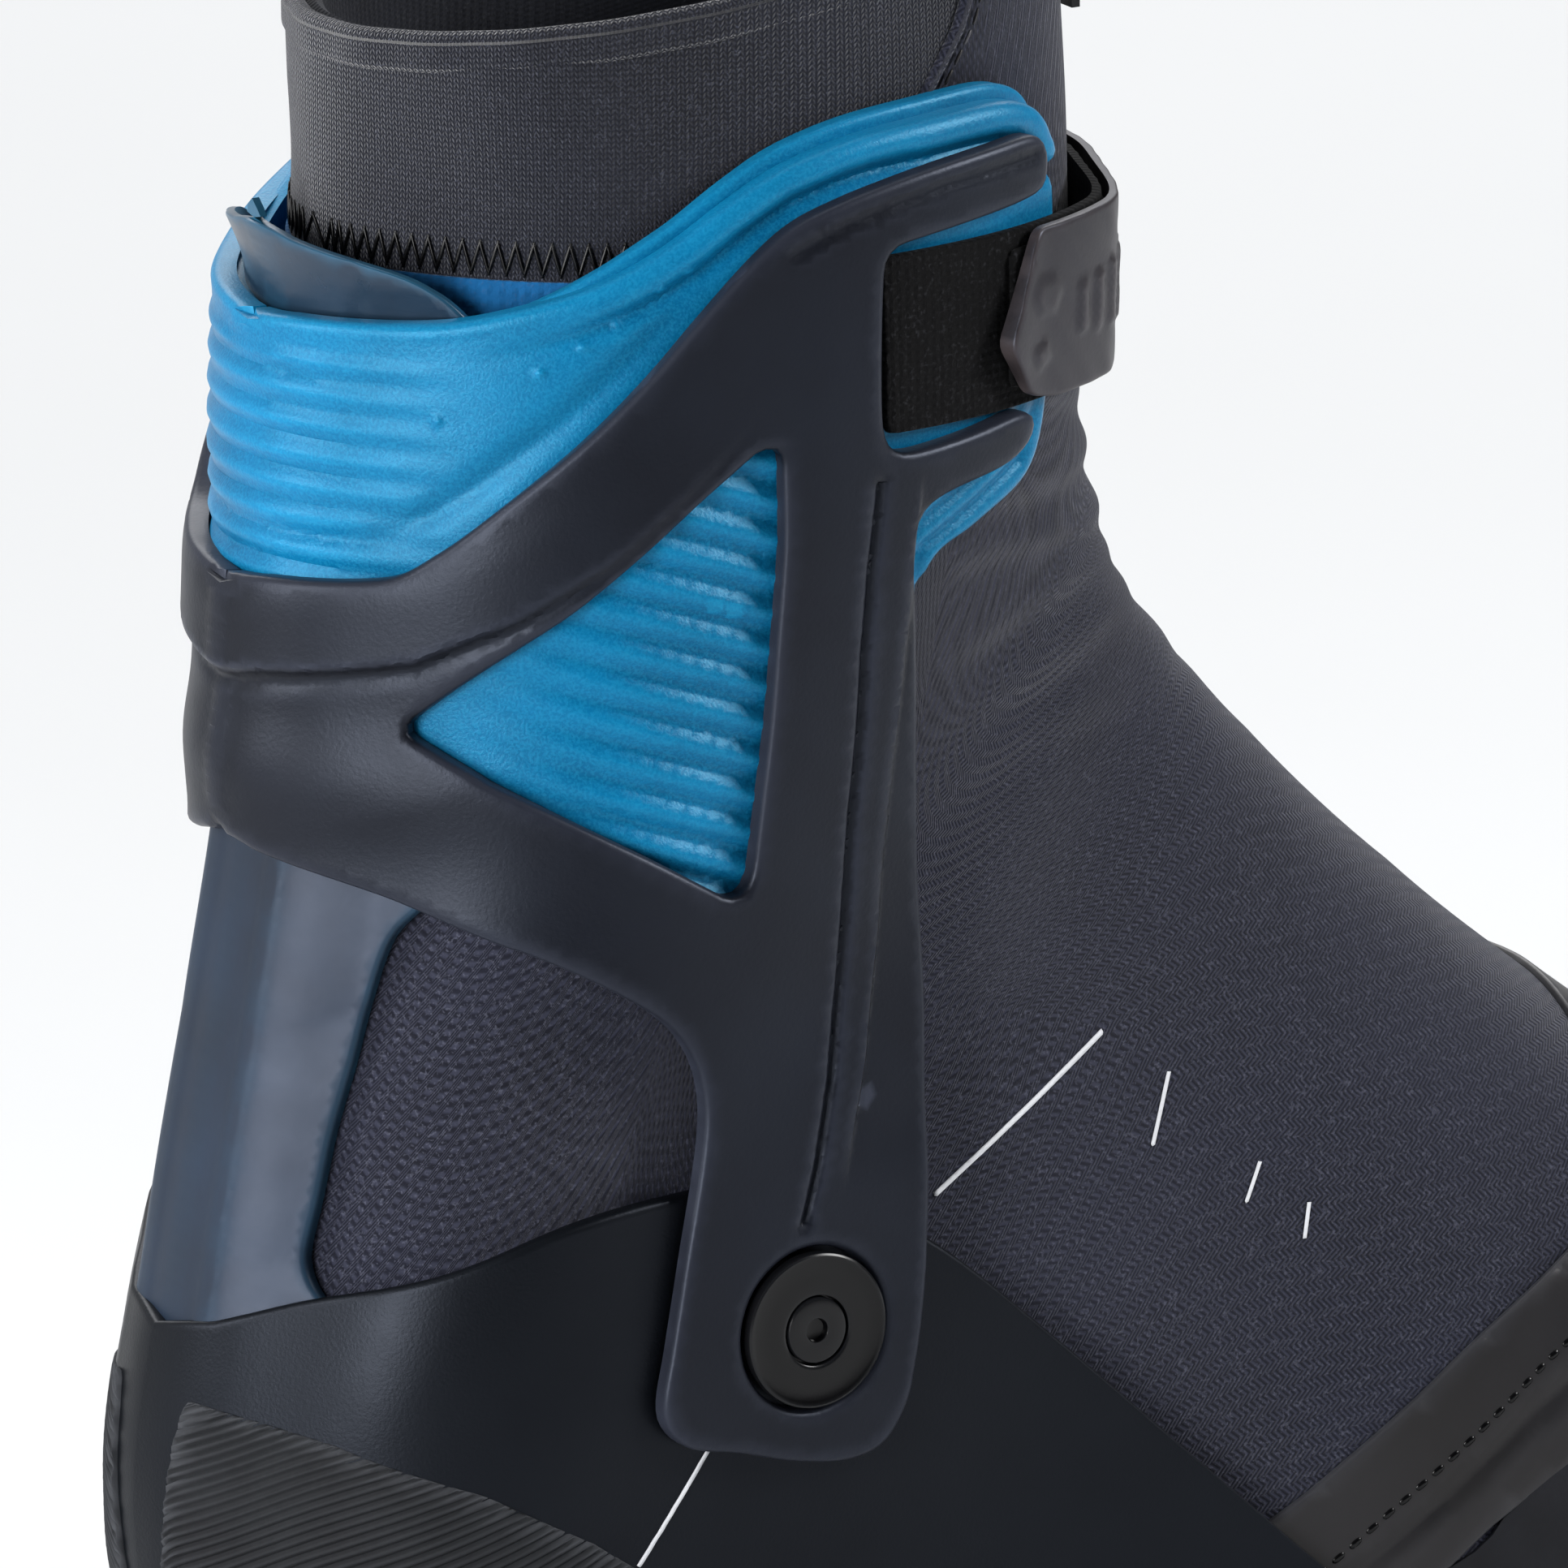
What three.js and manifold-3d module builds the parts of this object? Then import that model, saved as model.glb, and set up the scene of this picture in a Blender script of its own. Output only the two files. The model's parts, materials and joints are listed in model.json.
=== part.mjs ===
// Cross-country ski boot for the skating technique, right foot, size EU 42.
// Millimetres, +X toward the toe, +Y toward the inner (medial) side, +Z up, sole on z = 0.
// A stiff sole chassis and a hinged cuff stand outside a soft upper. Every layer of the boot is an
// offset of one last surface, so that neighbouring layers stay parallel with a small gap.

import * as THREE from 'three';
import { ParametricGeometry } from 'three/addons/geometries/ParametricGeometry.js';
import { mergeVertices } from 'three/addons/utils/BufferGeometryUtils.js';
import Module from 'manifold-3d';

const wasm = await Module();
wasm.setup();

// ---------------------------------------------------------------- driving dimensions
const ORIGIN = [147.01, 0, 0]; // middle of the sole's footprint
const PIVOT = [74.5, 76]; // side-view centre of the cuff hinge
const ROWS = 18; // surface rows from the toe to the collar
const COLUMNS = 24; // surface columns round each row
const SOFT_ROWS = 9; // the padded inner layers use every second row and column
const SOFT_COLUMNS = 12;
const SOFTSHELL = [-1.5, 0]; // offsets of each layer from the last surface
const KNIT = [-1.7, 0];
const LINER_THICKNESS = 2.2;
const TONGUE = [-8.6, -6.7];
const FOOTBED = -7.8;
const CHASSIS = [0.3, 3.4];
const HEEL_CUP = [2.9, 5.3];
const SPINE = [0.35, 2.5];
const COVER = [0.35, 1.3];
const STIFFENER = [-3.4, -2];
const EYELET_TAPE = [-4.9, -3.95];
const LACE = -3.25;
const CUFF_THICKNESS = 2.6;
const CUFF_LIFT = 0.35;
const SOLE_BOTTOM = 5;
const PAD_TOP = 4.7;
const ARM_FACE = 40.5; // flat running faces of the hinge
const WING_FACE = 40.1;
const COLLAR_TOP_REAR = 243;
const COLLAR_TOP_FRONT = 257;
const FLEX_RADIUS = 24; // soft hinge zone round the pivot
const FLEX_FRONT = [38, 55]; // degrees above the pivot, toward the toe
const FLEX_REAR = [159, 172]; // degrees, toward the heel
const STRAP_Z = [192.2, 215.2];
const STRAP_THICKNESS = 1.2;
const FLAP_LIFT = 2.3;

// Sections of the last, from the toe tip to above the collar. Each one is a plane through a low and a
// high point of the side view: [low x, low z, high x, high z, half width, widest place between low and
// high, roundness below, roundness above].
const SECTIONS = [
  [291, 28.5, 291, 31.5, 5, 0.45, 2.1, 2.1],
  [289, 23, 288.5, 42, 17, 0.42, 2.3, 2.2],
  [283, 18.5, 280.5, 53, 28, 0.36, 2.6, 2.3],
  [268, 15.5, 265, 62, 39, 0.3, 3.2, 2.3],
  [245, 14, 241, 71, 46, 0.26, 3.8, 2.2],
  [213, 13.5, 209, 90, 48.5, 0.24, 4, 2],
  [178, 13.5, 182, 110, 44, 0.24, 4, 1.9],
  [138, 13.5, 160, 130, 38.5, 0.28, 4, 1.85],
  [92, 13.5, 148, 146, 36, 0.34, 3.6, 1.9],
  [42, 15, 141.5, 156, 36.5, 0.34, 2.9, 2],
  [12, 25, 138.5, 165, 37, 0.34, 2.5, 2.1],
  [3.4, 50, 137, 174, 36.5, 0.36, 2.3, 2.1],
  [6.5, 80, 136, 184, 36.5, 0.4, 2.2, 2.1],
  [12.2, 111, 134.5, 195, 37, 0.44, 2.2, 2.1],
  [18.3, 140, 133.5, 206, 37.5, 0.47, 2.1, 2.1],
  [22.5, 168, 132.5, 217, 38, 0.49, 2.1, 2.1],
  [25.5, 197, 132, 229, 38, 0.5, 2.1, 2.1],
  [27, 222, 131.5, 243, 38, 0.5, 2.1, 2.1],
  [27, 243, 131, 257, 38, 0.5, 2.1, 2.1],
  [27, 264, 131, 275, 38, 0.5, 2.1, 2.1],
];

// ---------------------------------------------------------------- last surface
const smooth = (a, b, x) => THREE.MathUtils.smoothstep(x, a, b);
const mix = THREE.MathUtils.lerp;

function sectionAt(s) {
  const last = SECTIONS.length - 1;
  const i = Math.min(Math.floor(s), last - 1);
  const f = s - i;
  const pick = (k) => SECTIONS[Math.min(Math.max(i + k, 0), last)];
  const [p0, p1, p2, p3] = [pick(-1), pick(0), pick(1), pick(2)];
  return p1.map((_, k) => {
    const slope = (p2[k] - p0[k]) * f;
    const bend = (2 * p0[k] - 5 * p1[k] + 4 * p2[k] - p3[k]) * f * f;
    const twist = (-p0[k] + 3 * p1[k] - 3 * p2[k] + p3[k]) * f * f * f;
    return 0.5 * (2 * p1[k] + slope + bend + twist);
  });
}

// Point of the last at section s and angle t, where t = 0 is the top or front and PI the sole or heel.
function lastPoint(s, t) {
  const [lx, lz, hx, hz, width, widest, below, above] = sectionAt(s);
  const c = Math.cos(t);
  const n = c >= 0 ? above : below;
  const reach = c >= 0 ? 1 - widest : -widest;
  const a = widest + reach * Math.abs(c) ** (2 / n);
  const y = width * Math.sign(Math.sin(t)) * Math.abs(Math.sin(t)) ** (2 / n);
  return new THREE.Vector3(lx + (hx - lx) * a, y, lz + (hz - lz) * a);
}

function lastNormal(s, t) {
  const last = SECTIONS.length - 1;
  const e = 0.004;
  const ds = lastPoint(Math.min(s + e, last), t).sub(lastPoint(Math.max(s - e, 0), t));
  const dt = lastPoint(s, t + e).sub(lastPoint(s, t - e));
  return dt.cross(ds).normalize();
}

function offsetPoint(s, t, offset) {
  const p = lastPoint(s, t);
  const d = typeof offset === 'function' ? offset(p) : offset;
  return p.addScaledVector(lastNormal(s, t), d);
}

// ---------------------------------------------------------------- solids
function solid(geometry) {
  const bare = geometry.clone();
  bare.deleteAttribute('normal');
  bare.deleteAttribute('uv');
  const merged = mergeVertices(bare, 1e-4);
  const source = merged.index.array;
  const triVerts = [];
  for (let i = 0; i < source.length; i += 3) {
    const [a, b, c] = [source[i], source[i + 1], source[i + 2]];
    if (a !== b && b !== c && c !== a) triVerts.push(a, b, c);
  }
  const vertProperties = new Float32Array(merged.attributes.position.array);
  const data = { numProp: 3, vertProperties, triVerts: new Uint32Array(triVerts) };
  return new wasm.Manifold(new wasm.Mesh(data));
}

// Closed solid whose skin is the last surface moved out by the offset.
function lastSolid(offset, rows = ROWS, columns = COLUMNS) {
  const last = SECTIONS.length - 1;
  const toe = offsetPoint(0, 0, 0).add(offsetPoint(0, Math.PI, 0)).multiplyScalar(0.5);
  const toeOffset = typeof offset === 'function' ? offset(toe) : offset;
  toe.x += 0.4 + toeOffset;
  const top = lastPoint(last, 0).add(lastPoint(last, Math.PI)).multiplyScalar(0.5);
  const skin = new ParametricGeometry((u, v, target) => {
    const row = Math.round(v * (rows + 2)) - 1;
    const t = Math.round(u * columns) % columns * (2 * Math.PI / columns);
    if (row < 0) target.copy(toe);
    else if (row > rows) target.copy(top);
    else target.copy(offsetPoint(row / rows * last, t, offset));
  }, columns, rows + 2);
  return solid(skin);
}

const shell = (inner, outer, rows, columns) => (
  lastSolid(outer, rows, columns).subtract(lastSolid(inner, rows, columns)));

// Side-view outline drawn through both sides of the boot.
function sidePrism(points, y0 = -80, y1 = 80) {
  const shape = new THREE.Shape(points.map(([x, z]) => new THREE.Vector2(x, z)));
  const prism = new THREE.ExtrudeGeometry(shape, { depth: y1 - y0, bevelEnabled: false });
  return solid(prism.rotateX(Math.PI / 2).translate(0, y1, 0));
}

// Plan outline between two heights.
function planPrism(points, z0, z1) {
  const shape = new THREE.Shape(points.map(([x, y]) => new THREE.Vector2(x, y)));
  const block = new THREE.ExtrudeGeometry(shape, { depth: z1 - z0, bevelEnabled: false });
  return solid(block.translate(0, 0, z0));
}

function box(x0, x1, y0, y1, z0, z1) {
  const geometry = new THREE.BoxGeometry(x1 - x0, y1 - y0, z1 - z0);
  return solid(geometry.translate((x0 + x1) / 2, (y0 + y1) / 2, (z0 + z1) / 2));
}

// Round bar along Y between two y values.
function barY(x, z, radius, y0, y1, sides = 24) {
  const bar = new THREE.CylinderGeometry(radius, radius, y1 - y0, sides);
  return solid(bar.translate(x, (y0 + y1) / 2, z));
}

// Turned piece about the hinge axis, from [radius, distance from the centre plane] pairs.
function turned(profile, side, sides = 18) {
  const lathe = new THREE.LatheGeometry(profile.map(([r, y]) => new THREE.Vector2(r, y)), sides);
  const piece = solid(lathe.translate(PIVOT[0], 0, PIVOT[1]));
  return side > 0 ? piece : piece.mirror([0, 1, 0]);
}

const bothSides = (cutter) => cutter.add(cutter.mirror([0, 1, 0]));

// Sector of the side view seen from the hinge, between two angles in degrees.
function sector(from, to, inner, outer) {
  const points = [];
  const step = (to - from) / 8;
  for (let k = 0; k <= 8; k += 1) points.push(polar(from + step * k, outer));
  for (let k = 8; k >= 0; k -= 1) points.push(polar(from + step * k, inner));
  return points;
}

function polar(angle, radius) {
  const a = THREE.MathUtils.degToRad(angle);
  return [PIVOT[0] + radius * Math.cos(a), PIVOT[1] + radius * Math.sin(a)];
}

// ---------------------------------------------------------------- layer offsets
const rearness = (x) => 1 - smooth(28, 72, x);
const padOut = (p) => {
  const side = 3.4 + 2.6 * smooth(112, 185, p.z);
  return mix(side, 3.5 + 7 * smooth(130, 208, p.z), rearness(p.x));
};
const padIn = (p) => padOut(p) - mix(1.4, mix(3.8, 3, rearness(p.x)), smooth(165, 205, p.z));
const cuffIn = (p) => padOut(p) + CUFF_LIFT + 0.3 * (1 - smooth(100, 125, p.z));
const cuffOut = (p) => cuffIn(p) + CUFF_THICKNESS;
const lacing = (p) => smooth(96, 122, p.x) * (1 - smooth(222, 256, p.x)) * smooth(40, 66, p.z);
const linerOut = (p) => mix(-5.2, -2.1, smooth(205, 225, p.z)) - 2 * lacing(p);
const linerIn = (p) => linerOut(p) - LINER_THICKNESS;
const heelness = (p) => (1 - smooth(34, 60, p.x)) * smooth(28, 46, p.z);
const chassisIn = (p) => mix(CHASSIS[0], HEEL_CUP[0], heelness(p));
const chassisOut = (p) => mix(CHASSIS[1], HEEL_CUP[1], heelness(p));
const spoilerIn = (p) => 1.2 + 3.8 * smooth(185, 215, p.z);
const strapWrap = (p) => mix(6.45, 0.7, smooth(117, 131, p.x));

// ---------------------------------------------------------------- soft upper
const RAY = 260;
const flexZone = (grow) => sidePrism([
  ...Array.from({ length: 9 }, (_, k) =>
    polar(mix(FLEX_FRONT[0] - grow, FLEX_FRONT[1] + grow, k / 8), RAY)),
  ...Array.from({ length: 9 }, (_, k) =>
    polar(mix(FLEX_FRONT[1] + 8, FLEX_REAR[0] - 8, k / 8), FLEX_RADIUS + grow)),
  ...Array.from({ length: 5 }, (_, k) => polar(mix(FLEX_REAR[0] - grow, FLEX_REAR[1] + grow, k / 4), RAY)),
  ...Array.from({ length: 17 }, (_, k) =>
    polar(mix(FLEX_REAR[1] + 8, 352 + FLEX_FRONT[0], k / 16), FLEX_RADIUS + grow)),
]);
const flexInner = flexZone(-0.4);
const flexOuter = flexZone(0.1);
const aboveHinge = sidePrism([...sector(FLEX_FRONT[0] + 6, FLEX_REAR[1] - 4, 4, RAY)]);
const belowCollar = sidePrism([[-30, -20], [320, -20], [320, 283],
  [COLLAR_TOP_FRONT - 127, COLLAR_TOP_FRONT], [27, COLLAR_TOP_REAR], [-30, COLLAR_TOP_REAR - 7]]);

const softshellAll = shell(SOFTSHELL[0], SOFTSHELL[1]).intersect(belowCollar);
const knitZone = sidePrism([[-20, 212.3], [77, 212.3], [86, 223], [99.5, 241], [112, 270], [-20, 270]]);
const softshellCut = sidePrism([[-20, 211.8], [77.3, 211.8], [86.4, 222.7], [99.9, 240.8], [112.5, 270.4],
  [-20, 270.4]]);
const softshellFoot = softshellAll.subtract(aboveHinge).subtract(flexOuter);
const softshellShaft = softshellAll.intersect(aboveHinge).subtract(flexOuter).subtract(softshellCut);
const softshellFlex = softshellAll.intersect(flexInner);
const knitCollar = shell(KNIT[0], KNIT[1]).intersect(belowCollar).intersect(knitZone);

const throat = sidePrism([[212, 84], [196, 76], [150, 112], [112, 150], [112, 285], [170, 285],
  [215, 140]], -14.5, 14.5);
const linerAll = shell(linerIn, linerOut, SOFT_ROWS, SOFT_COLUMNS).intersect(belowCollar).subtract(throat);
const linerFoot = linerAll.subtract(aboveHinge).subtract(flexOuter);
const linerShaft = linerAll.intersect(aboveHinge).subtract(flexOuter);
const linerFlex = linerAll.intersect(flexInner);
const tongueZone = sidePrism([[209, 84], [196, 78.5], [152, 114], [114, 152], [114, 236], [150, 236],
  [166, 150], [213, 110]], -12.8, 12.8);
const tongue = shell(TONGUE[0], TONGUE[1], SOFT_ROWS, SOFT_COLUMNS).intersect(tongueZone);
const footbed = lastSolid(FOOTBED, SOFT_ROWS, SOFT_COLUMNS).intersect(box(0, 300, -60, 60, 10, 24));
const heelCounter = shell(STIFFENER[0], STIFFENER[1]).intersect(sidePrism([[-10, 24], [-10, 68],
  [30, 72], [58, 52], [78, 24]]));
const toeStiffener = shell(STIFFENER[0], STIFFENER[1]).intersect(sidePrism([[246, 18], [240, 90], [300, 90],
  [300, 18]]));

// ---------------------------------------------------------------- lacing under the gaiter
const LACE_SECTIONS = [5.3, 5.75, 6.2, 6.65, 7.1];
const EYELET_Y = 17.5;

function laceAngle(s, y) {
  const [, , , , width, , , above] = sectionAt(s);
  return Math.asin((Math.abs(y) / width) ** (above / 2)) * Math.sign(y);
}

function eyeletStrip(side) {
  const [y0, y1] = side > 0 ? [15, 21] : [-21, -15];
  const zone = sidePrism([[206, 40], [158, 108], [150, 124], [156, 150], [214, 120], [214, 60]], y0, y1);
  let strip = shell(EYELET_TAPE[0], EYELET_TAPE[1], 2 * ROWS, COLUMNS).intersect(zone);
  LACE_SECTIONS.forEach((s) => {
    const t = laceAngle(s, side * EYELET_Y);
    const foot = offsetPoint(s, t, EYELET_TAPE[0] - 0.1);
    const normal = lastNormal(s, t);
    const post = new THREE.CylinderGeometry(1.1, 1.1, 2.2, 8);
    post.applyQuaternion(new THREE.Quaternion().setFromUnitVectors(new THREE.Vector3(0, 1, 0), normal));
    const centre = foot.addScaledVector(normal, 1.1);
    strip = strip.add(solid(post.translate(centre.x, centre.y, centre.z)));
  });
  return strip;
}

function laceTube() {
  const points = [];
  LACE_SECTIONS.forEach((s, i) => {
    const side = i % 2 ? 1 : -1;
    const around = EYELET_Y + 2.7;
    points.push(offsetPoint(s - 0.12, laceAngle(s, side * (around - 2.6)), LACE));
    points.push(offsetPoint(s, laceAngle(s, side * around), LACE));
    points.push(offsetPoint(s + 0.12, laceAngle(s, side * (around - 3)), LACE));
    if (i < LACE_SECTIONS.length - 1) points.push(offsetPoint(s + 0.225, 0, LACE));
  });
  const path = new THREE.CatmullRomCurve3(points, false, 'centripetal');
  const round = new THREE.Shape();
  round.absarc(0, 0, 0.5, 0, Math.PI * 2, false);
  const options = { steps: 44, curveSegments: 2, extrudePath: path, bevelEnabled: false };
  return solid(new THREE.ExtrudeGeometry(round, options));
}

// ---------------------------------------------------------------- sole and chassis
const soleOutline = [[8, -20], [4, 0], [8, 20], [20, 30], [50, 34], [100, 34], [150, 39], [190, 46],
  [220, 48.5], [250, 46], [272, 36], [288, 20], [292, 0], [288, -20], [272, -36], [250, -46],
  [220, -48.5], [190, -46], [150, -39], [100, -34], [50, -34], [20, -30]];
const heelBlock = [[9, -19], [5.4, 0], [9, 19], [21, 27.5], [46, 32], [46, -32], [21, -27.5]];
const chassisSide = sidePrism([[-12, 4], [-12, 75], [1, 75.5], [6, 78.5], [15, 83], [26, 87.5],
  [40, 93], [54, 95], [74, 94.5], [94, 84], [111, 70], [135, 48], [155, 29.5], [166, 22.5], [200, 20.5],
  [262, 21.5], [282, 26], [300, 31], [300, 4]]);
const wingClearance = bothSides(barY(PIVOT[0], PIVOT[1], 31, WING_FACE, 60, 24));
const shankPocket = box(78, 192, -20, 20, 10, 20);
const panelOutline = [[3, 66.5], [14, 64.5], [29, 58.5], [44, 51], [60, 42], [64, 30], [58, 20], [2, 20]];
const panelSeat = [[1.6, 68], [14.2, 65.6], [29.6, 59.6], [44.8, 52], [61.2, 42.6], [65.4, 29.8],
  [58.8, 18.8], [0.6, 18.8]];
const panelRecess = (points, y) => sidePrism(points, ...(y > 0 ? [10, 80] : [-80, -10]));

function chassis() {
  let body = lastSolid(chassisOut).add(planPrism(soleOutline, SOLE_BOTTOM, 15));
  body = body.add(planPrism(heelBlock, 14, 24)).intersect(chassisSide);
  body = body.subtract(lastSolid(chassisIn)).subtract(wingClearance).subtract(shankPocket);
  const deep = lastSolid((p) => chassisOut(p) - 1.2);
  [-1, 1].forEach((side) => {
    const seat = panelRecess(panelSeat, side).subtract(deep);
    body = body.subtract(seat.intersect(box(-20, 90, -70, 70, 18.8, 70)));
    body = body.subtract(turned([[0, 30], [5.3, 30], [5.3, 60], [0, 60]], side));
    body = body.subtract(turned([[0, 30], [7.4, 30], [7.4, 38.4], [0, 38.4]], side));
  });
  return body.subtract(box(270.5, 300, -16.5, 16.5, 0, 9.2));
}

const heelPanel = (side) => {
  const skin = shell((p) => chassisOut(p) - 0.9, chassisOut);
  const recess = panelRecess(panelOutline, side > 0 ? 1 : -1);
  return skin.intersect(recess).intersect(box(-20, 90, -70, 70, 20, 70));
};

function outsolePad(x0, x1) {
  const grooves = [-13, 13].map((y) => box(x0 - 5, x1 + 5, y - 3, y + 3, -1, 2.6));
  let pad = planPrism(soleOutline, 0, PAD_TOP).intersect(box(x0, x1, -60, 60, -1, 8));
  grooves.forEach((groove) => {
    pad = pad.subtract(groove);
  });
  return pad;
}

const BAR = [282, 4.4];
const bindingBlock = box(270.8, 291, -16, 16, 0.8, 8.9)
  .subtract(box(277.5, 295, -10, 10, -2, 8))
  .subtract(barY(BAR[0], BAR[1], 2.35, -30, 30, 12));
const toeBar = barY(BAR[0], BAR[1], 2, -15.5, 15.5, 12);

const spineZone = sidePrism([[-10, 64], [20, 64], [18, 78], [15.5, 86], [16, 96], [18.5, 112], [21.5, 127],
  [25, 134], [27, 148], [-10, 148]]);
const spine = shell(SPINE[0], SPINE[1]).intersect(spineZone);

// ---------------------------------------------------------------- overlays on the forefoot
const bandOutline = [[216, 120], [197, 77], [173, 60], [150, 43], [139, 35.5], [150, 29], [164, 28],
  [176, 36.5], [192, 47], [222, 68], [262, 110]];
const vampBand = shell(COVER[0], COVER[1]).intersect(sidePrism(bandOutline)).subtract(
  lastSolid((p) => CHASSIS[1] + 0.35).intersect(sidePrism([[60, 0], [94, 86.5], [111, 72.5],
    [135, 50.5], [155, 32], [166, 25], [200, 23], [200, 0]])));
const toeCap = shell(COVER[0], COVER[1]).intersect(sidePrism([[172, 23.5], [180, 36.8], [193, 45.4],
  [223, 66.4], [264, 109], [310, 109], [310, 33], [283, 28.2], [262, 23.6], [200, 22.6]]));

// ---------------------------------------------------------------- hinged cuff
const CUFF_OUTLINE = [
  [0, 173.5], [13, 172.5], [18, 176], [23, 179], [32, 185.5], [41, 192.5], [50, 201], [57, 208],
  [64, 215.5], [71, 221], [80, 224], [92, 226.5], [107, 228], [110.5, 226], [110.5, 219.5],
  [84, 216.6], [83, 215], [83, 191], [85, 189], [97, 190.2], [109, 191.5], [109.5, 188], [105, 184.5],
  [95, 183], [90.5, 181], [89, 177], [91, 155], [92.5, 130], [93, 105], [92, 80], [90, 66],
  [86, 59.5], [80, 57.8], [62, 60.5], [55, 62.5], [52, 67], [54, 79], [56.5, 92], [58.5, 104],
  [58.5, 110], [56, 115.5], [52, 120], [40, 127], [31, 131], [23, 135], [13, 140.5], [0, 141.5],
];
const TRIANGLE = [[24.5, 157], [41, 173], [57, 187], [67.5, 194], [68.4, 178], [67, 157], [65.8, 135.5],
  [63, 133.5], [51, 140.5], [33, 150.5]];

function cuffFrame() {
  let frame = shell(cuffIn, cuffOut).intersect(sidePrism(CUFF_OUTLINE));
  frame = frame.subtract(sidePrism(TRIANGLE));
  frame = frame.subtract(barY(PIVOT[0], PIVOT[1], 33, -ARM_FACE, ARM_FACE, 24));
  [-1, 1].forEach((side) => {
    frame = frame.subtract(turned([[0, 30], [5.5, 30], [5.5, 60], [0, 60]], side));
    frame = frame.subtract(turned([[0, 41.8], [10.4, 41.8], [10.4, 60], [0, 60]], side));
  });
  return frame;
}

const padOutline = [[-5, 207.5], [14, 207.5], [21, 208.5], [29, 210.5], [37, 213], [46, 216.5],
  [54, 220.5], [62, 226], [70, 230], [80, 232.5], [92, 233.5], [104, 233.5], [111, 231], [114, 226],
  [114, 186], [111, 180], [101, 175.5], [92, 173], [91, 145], [91.5, 126], [57, 116.5], [52, 120.5],
  [40, 127.5], [31, 131.5], [28.5, 134], [28.5, 149.5], [-5, 149.5]];
const cuffPad = shell(padIn, padOut).intersect(sidePrism(padOutline));
const spoilerZone = sidePrism([[-5, 180], [30, 180], [35, 200], [33, 209], [26, 215.5], [20, 218.5],
  [8, 221], [-5, 221]]);
const rearSpoiler = shell(spoilerIn, (p) => spoilerIn(p) + 1.4).intersect(spoilerZone);

// ---------------------------------------------------------------- cuff strap
const strapLayer = (lift, zone, thickness = STRAP_THICKNESS) => shell(
  (p) => strapWrap(p) + lift, (p) => strapWrap(p) + lift + thickness).intersect(zone);
const strapBox = (x0, x1, y0, y1) => box(x0, x1, y0, y1, ...STRAP_Z);
const loopBand = strapLayer(0, strapBox(83.5, 160, -60, 10));
const hookPatch = strapLayer(1.5, box(104, 160, -60, -4, 195, 213), 0.5);
const flapTip = sidePrism([[101.5, 201], [106.5, 193.5], [112, STRAP_Z[0]], [160, STRAP_Z[0]],
  [160, STRAP_Z[1]], [107.5, STRAP_Z[1]]]);
const strapFlap = strapLayer(FLAP_LIFT, flapTip.intersect(box(90, 160, -60, 4.6, 180, 230)));
const RIVETS = [[90, 209], [90, 198]];
const strapMedial = RIVETS.reduce(
  (strap, [x, z]) => strap.subtract(barY(x, z, 1.95, 38, 52, 12)),
  strapLayer(0, strapBox(83.5, 160, 10.8, 60))
    .add(strapLayer(0.6, strapBox(98, 124, 14, 60), 2))
    .add(strapLayer(FLAP_LIFT, strapBox(98, 160, 5.4, 60))),
);

function strapRivet([x, z]) {
  const profile = [[0, 0], [1.6, 0], [1.6, 2.7], [3.2, 2.7], [3.2, 3.3], [2.2, 3.8], [0, 3.8]];
  const lathe = new THREE.LatheGeometry(profile.map(([r, y]) => new THREE.Vector2(r, y)), 12);
  return solid(lathe.translate(x, 43.4, z));
}

// ---------------------------------------------------------------- front zip
const ZIP_X = 131.6;
const zipTape = shell(0.35, 1.1).intersect(box(110, 150, -4, 4, 217, 255));
const zipCoil = box(ZIP_X - 3, ZIP_X + 2.3, -1.4, 1.4, 219, 252);
const zip = zipTape.add(zipCoil.subtract(lastSolid(0.35)));
const SLIDER_Z = [243, 250];
const slider = box(ZIP_X + 0.2, ZIP_X + 4.4, -3.4, 3.4, ...SLIDER_Z)
  .subtract(box(ZIP_X - 4, ZIP_X + 2.7, -1.8, 1.8, 240, 255))
  .subtract(lastSolid(1.5))
  .add(box(ZIP_X + 4, ZIP_X + 7.4, -1.2, 1.2, 244, 249).subtract(barY(ZIP_X + 5.9, 247, 0.95, -3, 3, 10)));
const pullerRing = barY(ZIP_X + 5.9, 247, 0.7, -2.6, 2.6, 10);
const puller = pullerRing
  .add(box(ZIP_X + 5.3, ZIP_X + 6.5, -2.8, -1.5, 238, 247.3))
  .add(box(ZIP_X + 5.3, ZIP_X + 6.5, 1.5, 2.8, 238, 247.3))
  .add(box(ZIP_X + 5.3, ZIP_X + 6.5, -2.8, 2.8, 231.5, 242));
const zipStop = box(ZIP_X + 0.2, ZIP_X + 3.4, -3.2, 3.2, 252.4, 254.4).subtract(lastSolid(1.4));

// ---------------------------------------------------------------- scene
const boot = new THREE.Group();

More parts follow.
